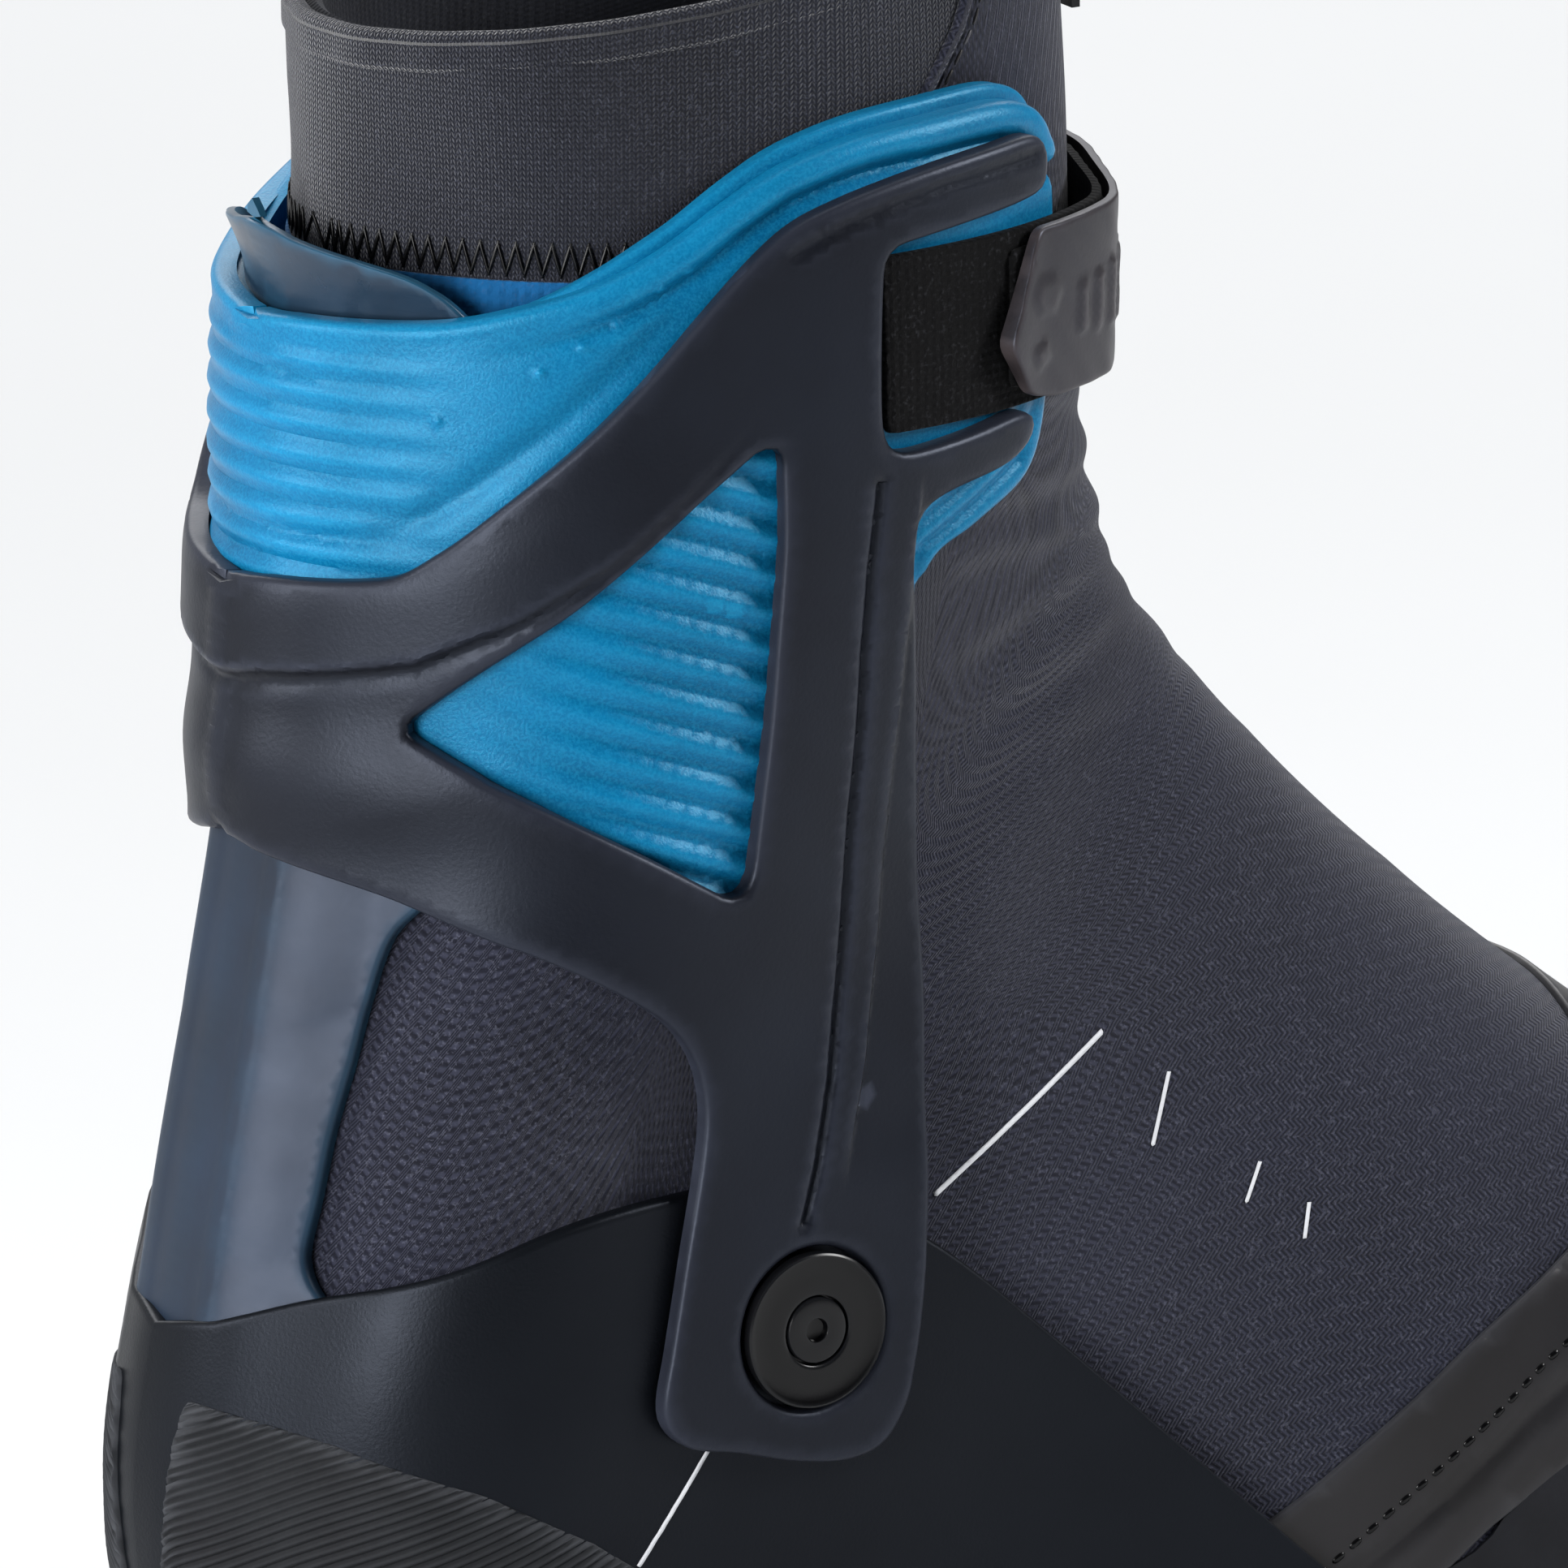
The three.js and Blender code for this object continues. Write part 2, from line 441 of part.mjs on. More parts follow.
const FINISH = {
  cuffPlastic: { color: 0x3a3a41, roughness: 0.62 },
  chassisPlastic: { color: 0x1b1c20, roughness: 0.55 },
  spinePlastic: { color: 0x1f2b3b, roughness: 0.4 },
  blueFoam: { color: 0x1a8fc9, roughness: 0.6 },
  darkFabric: { color: 0x2a2c38, roughness: 0.9 },
  knitFabric: { color: 0x33343c, roughness: 0.95 },
  linerFabric: { color: 0x24262c, roughness: 0.95 },
  satinFilm: { color: 0x3a3b42, roughness: 0.45 },
  hardBlack: { color: 0x101114, roughness: 0.3 },
  soleRubber: { color: 0x17181a, roughness: 0.85 },
  strapFabric: { color: 0x1c1b1d, roughness: 0.7 },
  steel: { color: 0xb4b7bb, roughness: 0.3, metalness: 1 },
  carbon: { color: 0x1c1d20, roughness: 0.35 },
};
const materials = Object.fromEntries(Object.entries(FINISH).map(([name, look]) => (
  [name, new THREE.MeshStandardMaterial({ name, ...look })])));

function add(name, body, finish) {
  const mesh = body.getMesh();
  const geometry = new THREE.BufferGeometry();
  const positions = [];
  for (let i = 0; i < mesh.vertProperties.length; i += mesh.numProp) {
    positions.push(...mesh.vertProperties.slice(i, i + 3));
  }
  geometry.setAttribute('position', new THREE.Float32BufferAttribute(positions, 3));
  geometry.setIndex([...mesh.triVerts]);
  const piece = new THREE.Mesh(geometry, materials[finish]);
  piece.name = name;
  piece.position.set(-ORIGIN[0], -ORIGIN[1], -ORIGIN[2]);
  boot.add(piece);
}

add('chassis_shell', chassis(), 'chassisPlastic');
add('heel_panel_lateral', heelPanel(-1), 'soleRubber');
add('heel_panel_medial', heelPanel(1), 'soleRubber');
add('outsole_heel_pad', outsolePad(3, 84), 'soleRubber');
add('outsole_forefoot_pad', outsolePad(150, 269.5), 'soleRubber');
add('binding_block', bindingBlock, 'hardBlack');
add('toe_bar', toeBar, 'steel');
add('shank_plate', box(78.3, 191.7, -19.7, 19.7, 10.3, 12.9), 'carbon');
add('achilles_spine', spine, 'spinePlastic');
add('softshell_foot', softshellFoot, 'darkFabric');
add('softshell_flex', softshellFlex, 'darkFabric');
add('softshell_shaft', softshellShaft, 'darkFabric');
add('knit_collar', knitCollar, 'knitFabric');
add('liner_foot', linerFoot, 'linerFabric');
add('liner_flex', linerFlex, 'linerFabric');
add('liner_shaft', linerShaft, 'linerFabric');
add('tongue', tongue, 'linerFabric');
add('footbed', footbed, 'blueFoam');
add('heel_counter', heelCounter, 'hardBlack');
add('toe_stiffener', toeStiffener, 'hardBlack');
add('eyelet_strip_lateral', eyeletStrip(-1), 'hardBlack');
add('eyelet_strip_medial', eyeletStrip(1), 'hardBlack');
add('lace', laceTube(), 'strapFabric');
add('vamp_band', vampBand, 'satinFilm');
add('toe_cap', toeCap, 'chassisPlastic');

[['lateral', -1], ['medial', 1]].forEach(([name, side]) => {
  add(`pivot_nut_${name}`, turned([[2.3, 37.1], [7.1, 37.1], [7.1, 38.1], [3.6, 38.1], [3.6, 41.4],
    [2.3, 41.4], [2.3, 37.1]], side), 'steel');
  add(`pivot_bush_${name}`, turned([[3.9, 38.7], [5, 38.7], [5, 41.4], [3.9, 41.4],
    [3.9, 38.7]], side), 'steel');
  add(`pivot_screw_${name}`, turned([[0, 37.4], [2, 37.4], [2, 42.7], [4.2, 42.7], [4.2, 43.9], [1.6, 43.9],
    [1.2, 43.2], [0, 43.2]], side), 'hardBlack');
  add(`pivot_disc_${name}`, turned([[2.3, 41.8], [10, 42.1], [10, 43.9], [9.4, 44.3], [4.6, 44.3],
    [4.6, 42.4], [2.3, 42.4], [2.3, 41.8]], side), 'hardBlack');
});

add('cuff_frame', cuffFrame(), 'cuffPlastic');
add('cuff_pad', cuffPad, 'blueFoam');
add('rear_spoiler', rearSpoiler, 'spinePlastic');
add('loop_band', loopBand, 'strapFabric');
add('strap_medial', strapMedial, 'strapFabric');
add('strap_rivet_upper', strapRivet(RIVETS[0]), 'steel');
add('strap_rivet_lower', strapRivet(RIVETS[1]), 'steel');
add('strap_flap', strapFlap, 'strapFabric');
add('hook_patch', hookPatch, 'strapFabric');
add('zip_track', zip, 'hardBlack');
add('zip_stop', zipStop, 'hardBlack');
add('zip_slider', slider, 'hardBlack');
add('zip_puller', puller, 'hardBlack');

export default boot;
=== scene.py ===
"""Cross country skate boot: the visible surfaces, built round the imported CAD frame."""
import json
import math

import bmesh
import bpy
import numpy as np
from mathutils.geometry import delaunay_2d_cdt
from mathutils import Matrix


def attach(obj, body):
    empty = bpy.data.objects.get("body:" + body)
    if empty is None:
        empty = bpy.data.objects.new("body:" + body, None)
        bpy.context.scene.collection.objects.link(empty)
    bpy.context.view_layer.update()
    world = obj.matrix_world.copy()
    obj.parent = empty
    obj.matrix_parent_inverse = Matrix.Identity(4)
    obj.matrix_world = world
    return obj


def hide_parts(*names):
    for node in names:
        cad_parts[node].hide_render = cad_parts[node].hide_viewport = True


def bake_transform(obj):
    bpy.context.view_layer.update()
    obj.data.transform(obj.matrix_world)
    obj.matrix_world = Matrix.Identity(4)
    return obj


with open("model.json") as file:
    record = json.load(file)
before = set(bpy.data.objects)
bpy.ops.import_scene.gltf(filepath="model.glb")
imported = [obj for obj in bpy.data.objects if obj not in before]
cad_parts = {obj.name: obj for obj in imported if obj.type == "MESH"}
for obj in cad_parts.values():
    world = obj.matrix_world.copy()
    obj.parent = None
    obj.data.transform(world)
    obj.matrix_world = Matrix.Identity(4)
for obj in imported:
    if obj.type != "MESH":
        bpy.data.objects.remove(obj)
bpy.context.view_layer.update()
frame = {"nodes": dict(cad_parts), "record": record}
NODES = frame["nodes"]

# ---------------------------------------------------------------- camera, floor and light
AZIMUTH, ELEVATION, DISTANCE = math.radians(-31), math.radians(15), 6.0
SENSOR = 36
FRAME_WIDTH = 0.1982  # metres across the picture at the boot
AIM = np.array([-0.0674, -0.0272, 0.143])
BACK = np.array([math.sin(AZIMUTH) * math.cos(ELEVATION), -math.cos(AZIMUTH) * math.cos(ELEVATION),
                 math.sin(ELEVATION)])
cam = bpy.data.objects.new("camera", bpy.data.cameras.new("camera"))
bpy.context.scene.collection.objects.link(cam)
cam.data.sensor_width = SENSOR
cam.data.lens = SENSOR * DISTANCE / FRAME_WIDTH
cam.data.clip_end = 20
cam.location = AIM + DISTANCE * BACK
cam.rotation_euler = (math.pi / 2 - ELEVATION, 0, AZIMUTH)
bpy.context.scene.camera = cam

ORIGIN = np.array([147.01, 0, 0])  # the row frame's origin, in design millimetres
LAST = 19  # index of the last section
ANKLE = 7.6  # first section that belongs to the leg
BEFORE_SIDE = 1.4  # angles below this are clearly in front of the side line
ROUND = 45.0  # UV millimetres per radian round the leg
TURN = 2 * math.pi

# ---------------------------------------------------------------- last surface, in millimetres
# It follows the CAD's last but is slimmer beside the heel tendon and fuller over the instep. Each section has
# its low point (x, z), its high point (x, z), half width, height share of the widest point, and the exponents
# of its lower and upper part. Sections run from the toe round the heel to the collar.
SECTIONS = np.array([
    [291, 28.5, 291, 31.5, 5, 0.45, 2.1, 2.1], [289, 23, 288.5, 42, 17, 0.42, 2.3, 2.2],
    [283, 18.5, 280.5, 53, 28, 0.36, 2.6, 2.3], [268, 15.5, 265, 62, 39, 0.3, 3.2, 2.3],
    [245, 14, 241, 71, 46, 0.26, 3.8, 2.2], [213, 13.5, 209, 90, 48.5, 0.24, 4, 2.1],
    [178, 13.5, 182, 110, 44, 0.24, 4, 2.2], [138, 13.5, 160, 130, 38.5, 0.28, 4, 2.25],
    [92, 13.5, 148, 146, 36, 0.34, 3.6, 2.2], [42, 15, 141.5, 156, 36.5, 0.34, 2.9, 2.15],
    [12, 25, 138.5, 165, 37, 0.34, 2.5, 2.1], [3.4, 50, 137, 174, 36.5, 0.36, 2.3, 2.1],
    [6.5, 80, 136, 184, 36.5, 0.4, 2.2, 2.1], [12.2, 111, 134.5, 195, 37, 0.44, 2.2, 2.1],
    [18.3, 140, 133.5, 206, 37.5, 0.47, 2.1, 2.1], [22.5, 168, 132.5, 217, 38, 0.49, 2.1, 2.1],
    [25.5, 197, 132, 229, 38, 0.5, 2.1, 2.1], [27, 222, 131.5, 243, 38, 0.5, 2.1, 2.1],
    [27, 243, 131, 257, 38, 0.5, 2.1, 2.1], [27, 264, 131, 275, 38, 0.5, 2.1, 2.1]])


def smooth(a, b, x):
    t = np.clip((np.asarray(x, float) - a) / (b - a), 0, 1)
    return t * t * (3 - 2 * t)


def mix(a, b, t):
    return a + (b - a) * t


def sections(s):
    """Catmull-Rom between the rows of SECTIONS."""
    s = np.clip(np.asarray(s, float), 0, LAST - 1e-9)
    i = np.floor(s).astype(int)
    f = (s - i)[..., None]
    p0, p1, p2, p3 = (SECTIONS[np.clip(i + k, 0, LAST)] for k in (-1, 0, 1, 2))
    return 0.5 * (2 * p1 + (p2 - p0) * f + (2 * p0 - 5 * p1 + 4 * p2 - p3) * f ** 2
                  + (-p0 + 3 * p1 - 3 * p2 + p3) * f ** 3)


SLIM = ([8.5, 10, 11, 12, 13, 14, 15, 16.5, 17.5, 19], [0, 2.8, 5.4, 7.6, 7.6, 4.2, 3.2, 2.4, 1.2, 0.8])
SLIM_ANGLE, SLIM_SHIFT, SLIM_SIDE = 0.55, 0.83, 0.0126
FULL = ([3, 5, 6, 7, 8, 9, 10, 11, 12], [0, 2.4, 5, 5.4, 3.4, 3, 2, 0.8, 0])


def last(s, t):
    """Points of the last at section s and angle t, which is 0 in front or on top and pi behind or below."""
    s, t = np.broadcast_arrays(np.asarray(s, float), np.asarray(t, float))
    v = sections(s)
    lo, hi = v[..., 0:2], v[..., 2:4]
    c, sn = np.cos(t), np.sin(t)
    n = np.where(c >= 0, v[..., 7], v[..., 6])
    reach = np.where(c >= 0, 1 - v[..., 5], -v[..., 5])
    a = v[..., 5] + reach * np.abs(c) ** (2 / n)
    y = v[..., 4] * np.sign(sn) * np.abs(sn) ** (2 / n)
    tau = np.abs((t % TURN) - math.pi) / SLIM_ANGLE
    slim = tau ** 2 * np.exp(1 - tau ** 2) + 0.35 * np.exp(-tau ** 2)
    slim = slim * np.interp(s, *SLIM)
    full = np.maximum(np.cos(t), 0) ** 3 * np.interp(s, *FULL)
    span = hi - lo
    step = span / np.maximum(np.linalg.norm(span, axis=-1, keepdims=True), 1e-9)
    shift = (full + slim * SLIM_SHIFT)[..., None] * step
    return np.stack([lo[..., 0] + span[..., 0] * a + shift[..., 0], y * (1 - SLIM_SIDE * slim),
                     lo[..., 1] + span[..., 1] * a + shift[..., 1]], -1)


def normal(s, t, e=0.02):
    s, t = np.broadcast_arrays(np.asarray(s, float), np.asarray(t, float))
    ds = last(np.minimum(s + e, LAST), t) - last(np.maximum(s - e, 0), t)
    dt = last(s, t + e) - last(s, t - e)
    n = np.cross(dt, ds)
    return n / np.maximum(np.linalg.norm(n, axis=-1, keepdims=True), 1e-9)


def lift(s, t, d):
    """Points at distance d from the last."""
    return last(s, t) + normal(s, t) * np.asarray(d, float)[..., None]


def section_of(t, z, low=ANKLE):
    """The section whose point at angle t is at height z."""
    t, z = np.broadcast_arrays(np.asarray(t, float), np.asarray(z, float))
    a, b = np.full(t.shape, low), np.full(t.shape, float(LAST))
    for _ in range(26):
        m = (a + b) / 2
        below = last(m, t)[..., 2] < z
        a, b = np.where(below, m, a), np.where(below, b, m)
    return (a + b) / 2


def rearness(x):
    """1 behind the tendon, 0 from the flanks on."""
    return 1 - smooth(28, 72, x)


def pad_out(p):
    """Distance from the last to the outer face of the pad."""
    x, z = p[..., 0], p[..., 2]
    return mix(3.4 + 2.6 * smooth(112, 185, z), 3.5 + 7 * smooth(130, 208, z), rearness(x))


def cuff_in(p):
    """Distance to the inner face of the cuff frame."""
    return pad_out(p) + 0.35 + 0.3 * (1 - smooth(100, 125, p[..., 2]))


def heelness(p):
    """1 on the heel cup, 0 elsewhere."""
    return (1 - smooth(34, 60, p[..., 0])) * smooth(28, 46, p[..., 2])


def chassis_out(p):
    """Distance to the outer face of the sole chassis."""
    return mix(3.4, 4.5, heelness(p))


def strap_wrap(p):
    """Distance to the inner face of the strap, which runs from over the cuff down to the shin."""
    return mix(6.45, 0.7, smooth(117, 131, p[..., 0]))


# ---------------------------------------------------------------- outlines
def t_of(q):
    """Angle for q in [-1, 1], spread so that equal steps of q are about equal steps round the last."""
    q = np.asarray(q, float)
    return np.arccos(np.clip(np.sign(q) * np.abs(q) ** 1.6, -1, 1))


GRID_S, GRID_Q = np.meshgrid(np.linspace(0, LAST, 380), np.linspace(1, -1, 241), indexing="ij")
GRID_P, GRID_N = last(GRID_S, t_of(GRID_Q)), normal(GRID_S, t_of(GRID_Q))


def locate(points, offset, low=0.0, high=float(LAST)):
    """(section, q) of side-view points on the surface lifted by the offset, on the +Y side."""
    d = offset(GRID_P) if callable(offset) else offset
    at = GRID_P + GRID_N * (d[..., None] if np.ndim(d) else d)
    use = (GRID_S >= low) & (GRID_S <= high)
    sx, sz, ss, sq = at[..., 0][use], at[..., 2][use], GRID_S[use], GRID_Q[use]
    out = []

    def spot(a, b, x, z):
        p = last(a, t_of(b))
        r = p + normal(a, t_of(b)) * (offset(p) if callable(offset) else offset)
        return np.array([r[0] - x, r[2] - z])

    for x, z in points:
        k = int(np.argmin((sx - x) ** 2 + (sz - z) ** 2))
        s, q = ss[k], sq[k]
        for _ in range(5):
            f, e = spot(s, q, x, z), 1e-3
            j = np.stack([(spot(s + e, q, x, z) - f) / e, (spot(s, q - e, x, z) - f) / -e], -1)
            if abs(np.linalg.det(j)) < 3 or abs(q) > 0.985:
                break
            step = np.linalg.solve(j, -f)
            s, q = s + np.clip(step[0], -0.2, 0.2), q + np.clip(step[1], -0.05, 0.05)
        out.append((float(np.clip(s, low, high)), float(np.clip(q, -1, 1))))
    return out


def curve(points, step, closed=True):
    """Catmull-Rom through the points, resampled."""
    p = np.array(points, float)
    n = len(p)
    out = []
    for i in range(n if closed else n - 1):
        a, b = p[i], p[(i + 1) % n]
        before = p[i - 1] if (closed or i) else a
        after = p[(i + 2) % n] if (closed or i < n - 2) else b
        length = np.linalg.norm(b - a)
        ma, mb = (m * min(1, length / max(1e-6, np.linalg.norm(m)))
                  for m in ((b - before) / 2, (after - a) / 2))
        k = max(2, int(math.ceil(length / step)))
        f = np.linspace(0, 1, k, endpoint=False)[:, None]
        out.append((2 * f ** 3 - 3 * f ** 2 + 1) * a + (f ** 3 - 2 * f ** 2 + f) * ma
                   + (-2 * f ** 3 + 3 * f ** 2) * b + (f ** 3 - f ** 2) * mb)
    if not closed:
        out.append(p[-1:])
    return resample(np.concatenate(out), step, closed)


def length_along(p):
    return np.concatenate([[0], np.cumsum(np.linalg.norm(np.diff(p, axis=0), axis=1))])


def resample(p, step, closed=True):
    """Polyline with points at about equal steps."""
    q = np.vstack([p, p[:1]]) if closed else p
    d = length_along(q)
    n = max(3, int(round(d[-1] / step)))
    at = np.linspace(0, d[-1], n, endpoint=not closed)
    return np.stack([np.interp(at, d, q[:, k]) for k in range(2)], -1)


def corners(points, radius, steps=5):
    """Polygon with every corner rounded."""
    p = np.array(points, float)
    out = []
    for i in range(len(p)):
        a, b = p[i - 1] - p[i], p[(i + 1) % len(p)] - p[i]
        r = min(radius, np.linalg.norm(a) / 2.05, np.linalg.norm(b) / 2.05)
        a, b = p[i] + a / np.linalg.norm(a) * r, p[i] + b / np.linalg.norm(b) * r
        for f in np.linspace(0, 1, steps):
            out.append((1 - f) ** 2 * a + 2 * f * (1 - f) * p[i] + f * f * b)
    return np.array(out)


def inside(q, poly):
    """Which points are inside the polygon."""
    x, y = q[:, 0], q[:, 1]
    hit = np.zeros(len(q), bool)
    for (x0, y0), (x1, y1) in zip(poly, np.roll(poly, -1, axis=0)):
        if y0 != y1:
            hit ^= ((y0 > y) != (y1 > y)) & (x < (x1 - x0) * (y - y0) / (y1 - y0) + x0)
    return hit


def distance(q, line, closed=True):
    """Distance from each point to a polyline."""
    a = line
    b = np.roll(line, -1, axis=0) if closed else line[1:]
    a = a if closed else line[:-1]
    best = np.full(len(q), 1e9)
    for k in range(0, len(a), 64):
        pa, ab = a[k:k + 64], (b - a)[k:k + 64]
        ap = q[:, None, :] - pa[None]
        f = np.clip((ap * ab).sum(-1) / np.maximum((ab * ab).sum(-1), 1e-12), 0, 1)
        best = np.minimum(best, np.linalg.norm(ap - f[..., None] * ab, axis=-1).min(1))
    return best


def inset(poly, d):
    """Closed polyline moved sideways, to the left of its direction."""
    along = np.roll(poly, -1, axis=0) - np.roll(poly, 1, axis=0)
    along /= np.maximum(np.linalg.norm(along, axis=1, keepdims=True), 1e-9)
    return poly + np.stack([-along[:, 1], along[:, 0]], -1) * d


# ---------------------------------------------------------------- meshes
def mesh(name, verts, faces, uv, sharp):
    """Object from points and UV in design millimetres, with doubled points welded."""
    me = bpy.data.meshes.new(name)
    me.from_pydata(((np.asarray(verts) - ORIGIN) / 1000).tolist(), [], faces)
    me.update()
    layer = me.uv_layers.new(name="UVMap")
    idx = np.empty(len(me.loops), int)
    me.loops.foreach_get("vertex_index", idx)
    layer.data.foreach_set("uv", (np.asarray(uv)[idx] / 1000).ravel())
    weld = bmesh.new()
    weld.from_mesh(me)
    bmesh.ops.remove_doubles(weld, verts=weld.verts, dist=1e-7)
    weld.to_mesh(me)
    weld.free()
    me.polygons.foreach_set("use_smooth", np.ones(len(me.polygons), bool))
    if sharp:
        me.set_sharp_from_angle(angle=math.radians(sharp))
    obj = bpy.data.objects.new(name, me)
    bpy.context.scene.collection.objects.link(obj)
    return obj


def patch(name, outline, holes, place, outer, thickness, edge, step, detail=None, lines=(), metric=None,
          sharp=38):
    """A thin moulded wall. The outline and its holes are in a flat domain, which place() maps to (section,
    angle). Its outer edges are rounded, and detail(xyz, domain) raises or lowers the outer face."""
    loops = [resample(outline, step)] + [resample(h, step) for h in holes]
    area = [0.5 * np.sum(l[:, 0] * np.roll(l[:, 1], -1) - np.roll(l[:, 0], -1) * l[:, 1]) for l in loops]
    loops = [l if (a > 0) == (k == 0) else l[::-1] for k, (l, a) in enumerate(zip(loops, area))]
    metric = np.eye(2) if metric is None else metric

    def within(points):
        ok = inside(points, loops[0])
        for h in loops[1:]:
            ok &= ~inside(points, h)
        return ok

    lo, hi = loops[0].min(0), loops[0].max(0)
    box = np.array([[lo[0], lo[1]], [hi[0], lo[1]], [hi[0], hi[1]], [lo[0], hi[1]]]) @ metric.T
    gx = np.arange(box[:, 0].min(), box[:, 0].max(), step)
    gy = np.arange(box[:, 1].min(), box[:, 1].max(), step * 0.866)
    lat = np.array([(x + (step / 2 if j % 2 else 0), y) for j, y in enumerate(gy) for x in gx])
    lat = lat @ np.linalg.inv(metric).T
    rings = [inset(l, edge * f) for l in loops for f in (0.12, 0.4, 0.95)] if edge else []
    free = np.vstack([lat] + [np.asarray(l) for l in lines]) if len(lines) else lat
    free = free[within(free)]
    near = np.min([distance(free, l) for l in loops], axis=0)
    free = free[near > max(edge * 0.95 + 0.3 * step, 0.35 * step)]
    bound = np.vstack(loops)
    ring = np.vstack(rings) if rings else np.zeros((0, 2))
    ring = ring[within(ring)]
    pts = np.vstack([bound, ring, free])
    edges, k = [], 0
    for l in loops:
        edges += [(k + i, k + (i + 1) % len(l)) for i in range(len(l))]
        k += len(l)
    flat = pts @ metric.T
    v2, _, tris, *_ = delaunay_2d_cdt([tuple(p) for p in flat], edges, [], 0, 1e-7)
    at = np.array([tuple(v) for v in v2]) @ np.linalg.inv(metric).T
    tris = np.array([f for f in tris if len(f) == 3])
    tris = tris[within(at[tris].mean(1))]
    dist = np.min([distance(at, l) for l in loops], axis=0)
    s, t = place(at)
    base, nrm = last(s, t), normal(s, t)
    top = outer(base)
    if detail is not None:
        spot = base + nrm * top[:, None]
        top = top + detail(spot, at)
    low = outer(base) - (thickness(base) if callable(thickness) else thickness)
    if edge:
        e = np.clip(edge - dist, 0, edge)
        top = top - edge + np.sqrt(np.maximum(edge ** 2 - e ** 2, 0))
    top = np.maximum(top, low + 0.15)
    upper, lower = base + nrm * top[:, None], base + nrm * low[:, None]
    half_edges = dict.fromkeys((f[k], f[(k + 1) % 3]) for f in tris for k in range(3))
    n = len(at)
    cross = np.cross(upper[tris[:, 1]] - upper[tris[:, 0]], upper[tris[:, 2]] - upper[tris[:, 0]])
    out_way = (cross * nrm[tris[:, 0]]).sum(1).mean() > 0
    faces = [tuple(f) if out_way else tuple(f[::-1]) for f in tris.tolist()]
    faces += [tuple(i + n for i in (f[::-1] if out_way else f)) for f in tris.tolist()]
    for a, b in half_edges:
        if (b, a) not in half_edges:
            faces.append((b, a, a + n, b + n) if out_way else (a, b, b + n, a + n))
    uv = np.vstack([at, at])
    used = np.unique(np.concatenate([np.array(f) for f in faces]))
    remap = -np.ones(2 * n, int)
    remap[used] = np.arange(len(used))
    verts = np.vstack([upper, lower])[used]
    return mesh(name, verts, [tuple(int(remap[i]) for i in f) for f in faces], uv[used], sharp)


def loft(name, rings, uv, sharp, closed=True, caps=False, flip=False):
    """Rows of points joined into a skin; each row is a loop when closed."""
    g = np.asarray(rings)
    r, c = g.shape[:2]
    idx = np.arange(r * c).reshape(r, c)
    nxt = np.roll(idx, -1, axis=1) if closed else idx[:, 1:]
    cur = idx if closed else idx[:, :-1]
    faces = np.stack([cur[:-1], nxt[:-1], nxt[1:], cur[1:]], -1).reshape(-1, 4)
    faces = [tuple(f) for f in (faces[:, ::-1] if flip else faces).tolist()]
    if caps:
        first, end = idx[0].tolist(), idx[-1].tolist()
        faces.append(tuple(first if flip else first[::-1]))
        faces.append(tuple(end[::-1] if flip else end))
    return mesh(name, g.reshape(-1, 3), faces, np.asarray(uv).reshape(-1, 2), sharp)


def rounded_bar(z0, z1, d0, d1, r, n, across):
    """Closed (offset, height) loop of a flat band with rounded edges."""
    r = min(r, (d1 - d0) / 2.01)
    pts = []
    for cd, cz, a0 in ((d1 - r, z1 - r, 0), (d0 + r, z1 - r, 90), (d0 + r, z0 + r, 180),
                       (d1 - r, z0 + r, 270)):
        for k in range(n):
            a = math.radians(a0 + 90 * k / (n - 1))
            pts.append((cd + r * math.cos(a), cz + r * math.sin(a)))
    quads = [pts[i * n:(i + 1) * n] for i in range(4)]
    loop = list(quads[0]) + list(quads[1])
    loop += [(d0, z) for z in np.linspace(z1 - r, z0 + r, across + 2)[1:-1]]
    loop += list(quads[2]) + list(quads[3])
    loop += [(d1, z) for z in np.linspace(z0 + r, z1 - r, across + 2)[1:-1]]
    return np.array(loop)


# ---------------------------------------------------------------- flat domains
Q = np.linspace(-1, 1, 401)
LEVELS = np.arange(50.0, 263.0, 0.25)
FOOT = 30  # millimetres of the foot domain for each section


def running(points):
    """Length along each row of points."""
    steps = np.linalg.norm(np.diff(points, axis=1), axis=-1)
    return np.concatenate([np.zeros((len(points), 1)), np.cumsum(steps, 1)], 1)


LEVEL_T, LEVEL_Z = np.broadcast_arrays(t_of(Q)[None, :], LEVELS[:, None])
LEVEL_ARC = running(last(section_of(LEVEL_T, LEVEL_Z, np.where(LEVEL_T < BEFORE_SIDE, 0.0, ANKLE)), LEVEL_T))
STATIONS = np.linspace(0, 11, 111)
STATION_ARC = running(last(STATIONS[:, None], t_of(-Q)[None, :]))


def look_up(table, rows, row, arc):
    """q-like position along each row of an arc table."""
    f = np.clip((row - rows[0]) / (rows[1] - rows[0]), 0, len(rows) - 1.001)
    i = f.astype(int)
    out = np.empty(len(row))
    for k in np.unique(i):
        m = i == k
        near = np.interp(arc[m], table[k], Q)
        far = np.interp(arc[m], table[k + 1], Q)
        out[m] = mix(near, far, (f - i)[m])
    return out


def section_at(t, z):
    """section_of for angles on both sides."""
    tt = np.where(np.asarray(t) > math.pi, TURN - t, np.abs(t))
    return section_of(tt, z, np.where(tt < BEFORE_SIDE, 0.0, ANKLE))


def from_leg(at):
    """Leg domain: arc from the rear centre line (positive on the lateral side) and height on the last."""
    q = look_up(LEVEL_ARC, LEVELS, at[:, 1], np.abs(at[:, 0]))
    t = math.pi + np.where(at[:, 0] < 0, -1, 1) * (math.pi - t_of(q))
    return section_at(t, at[:, 1]), t


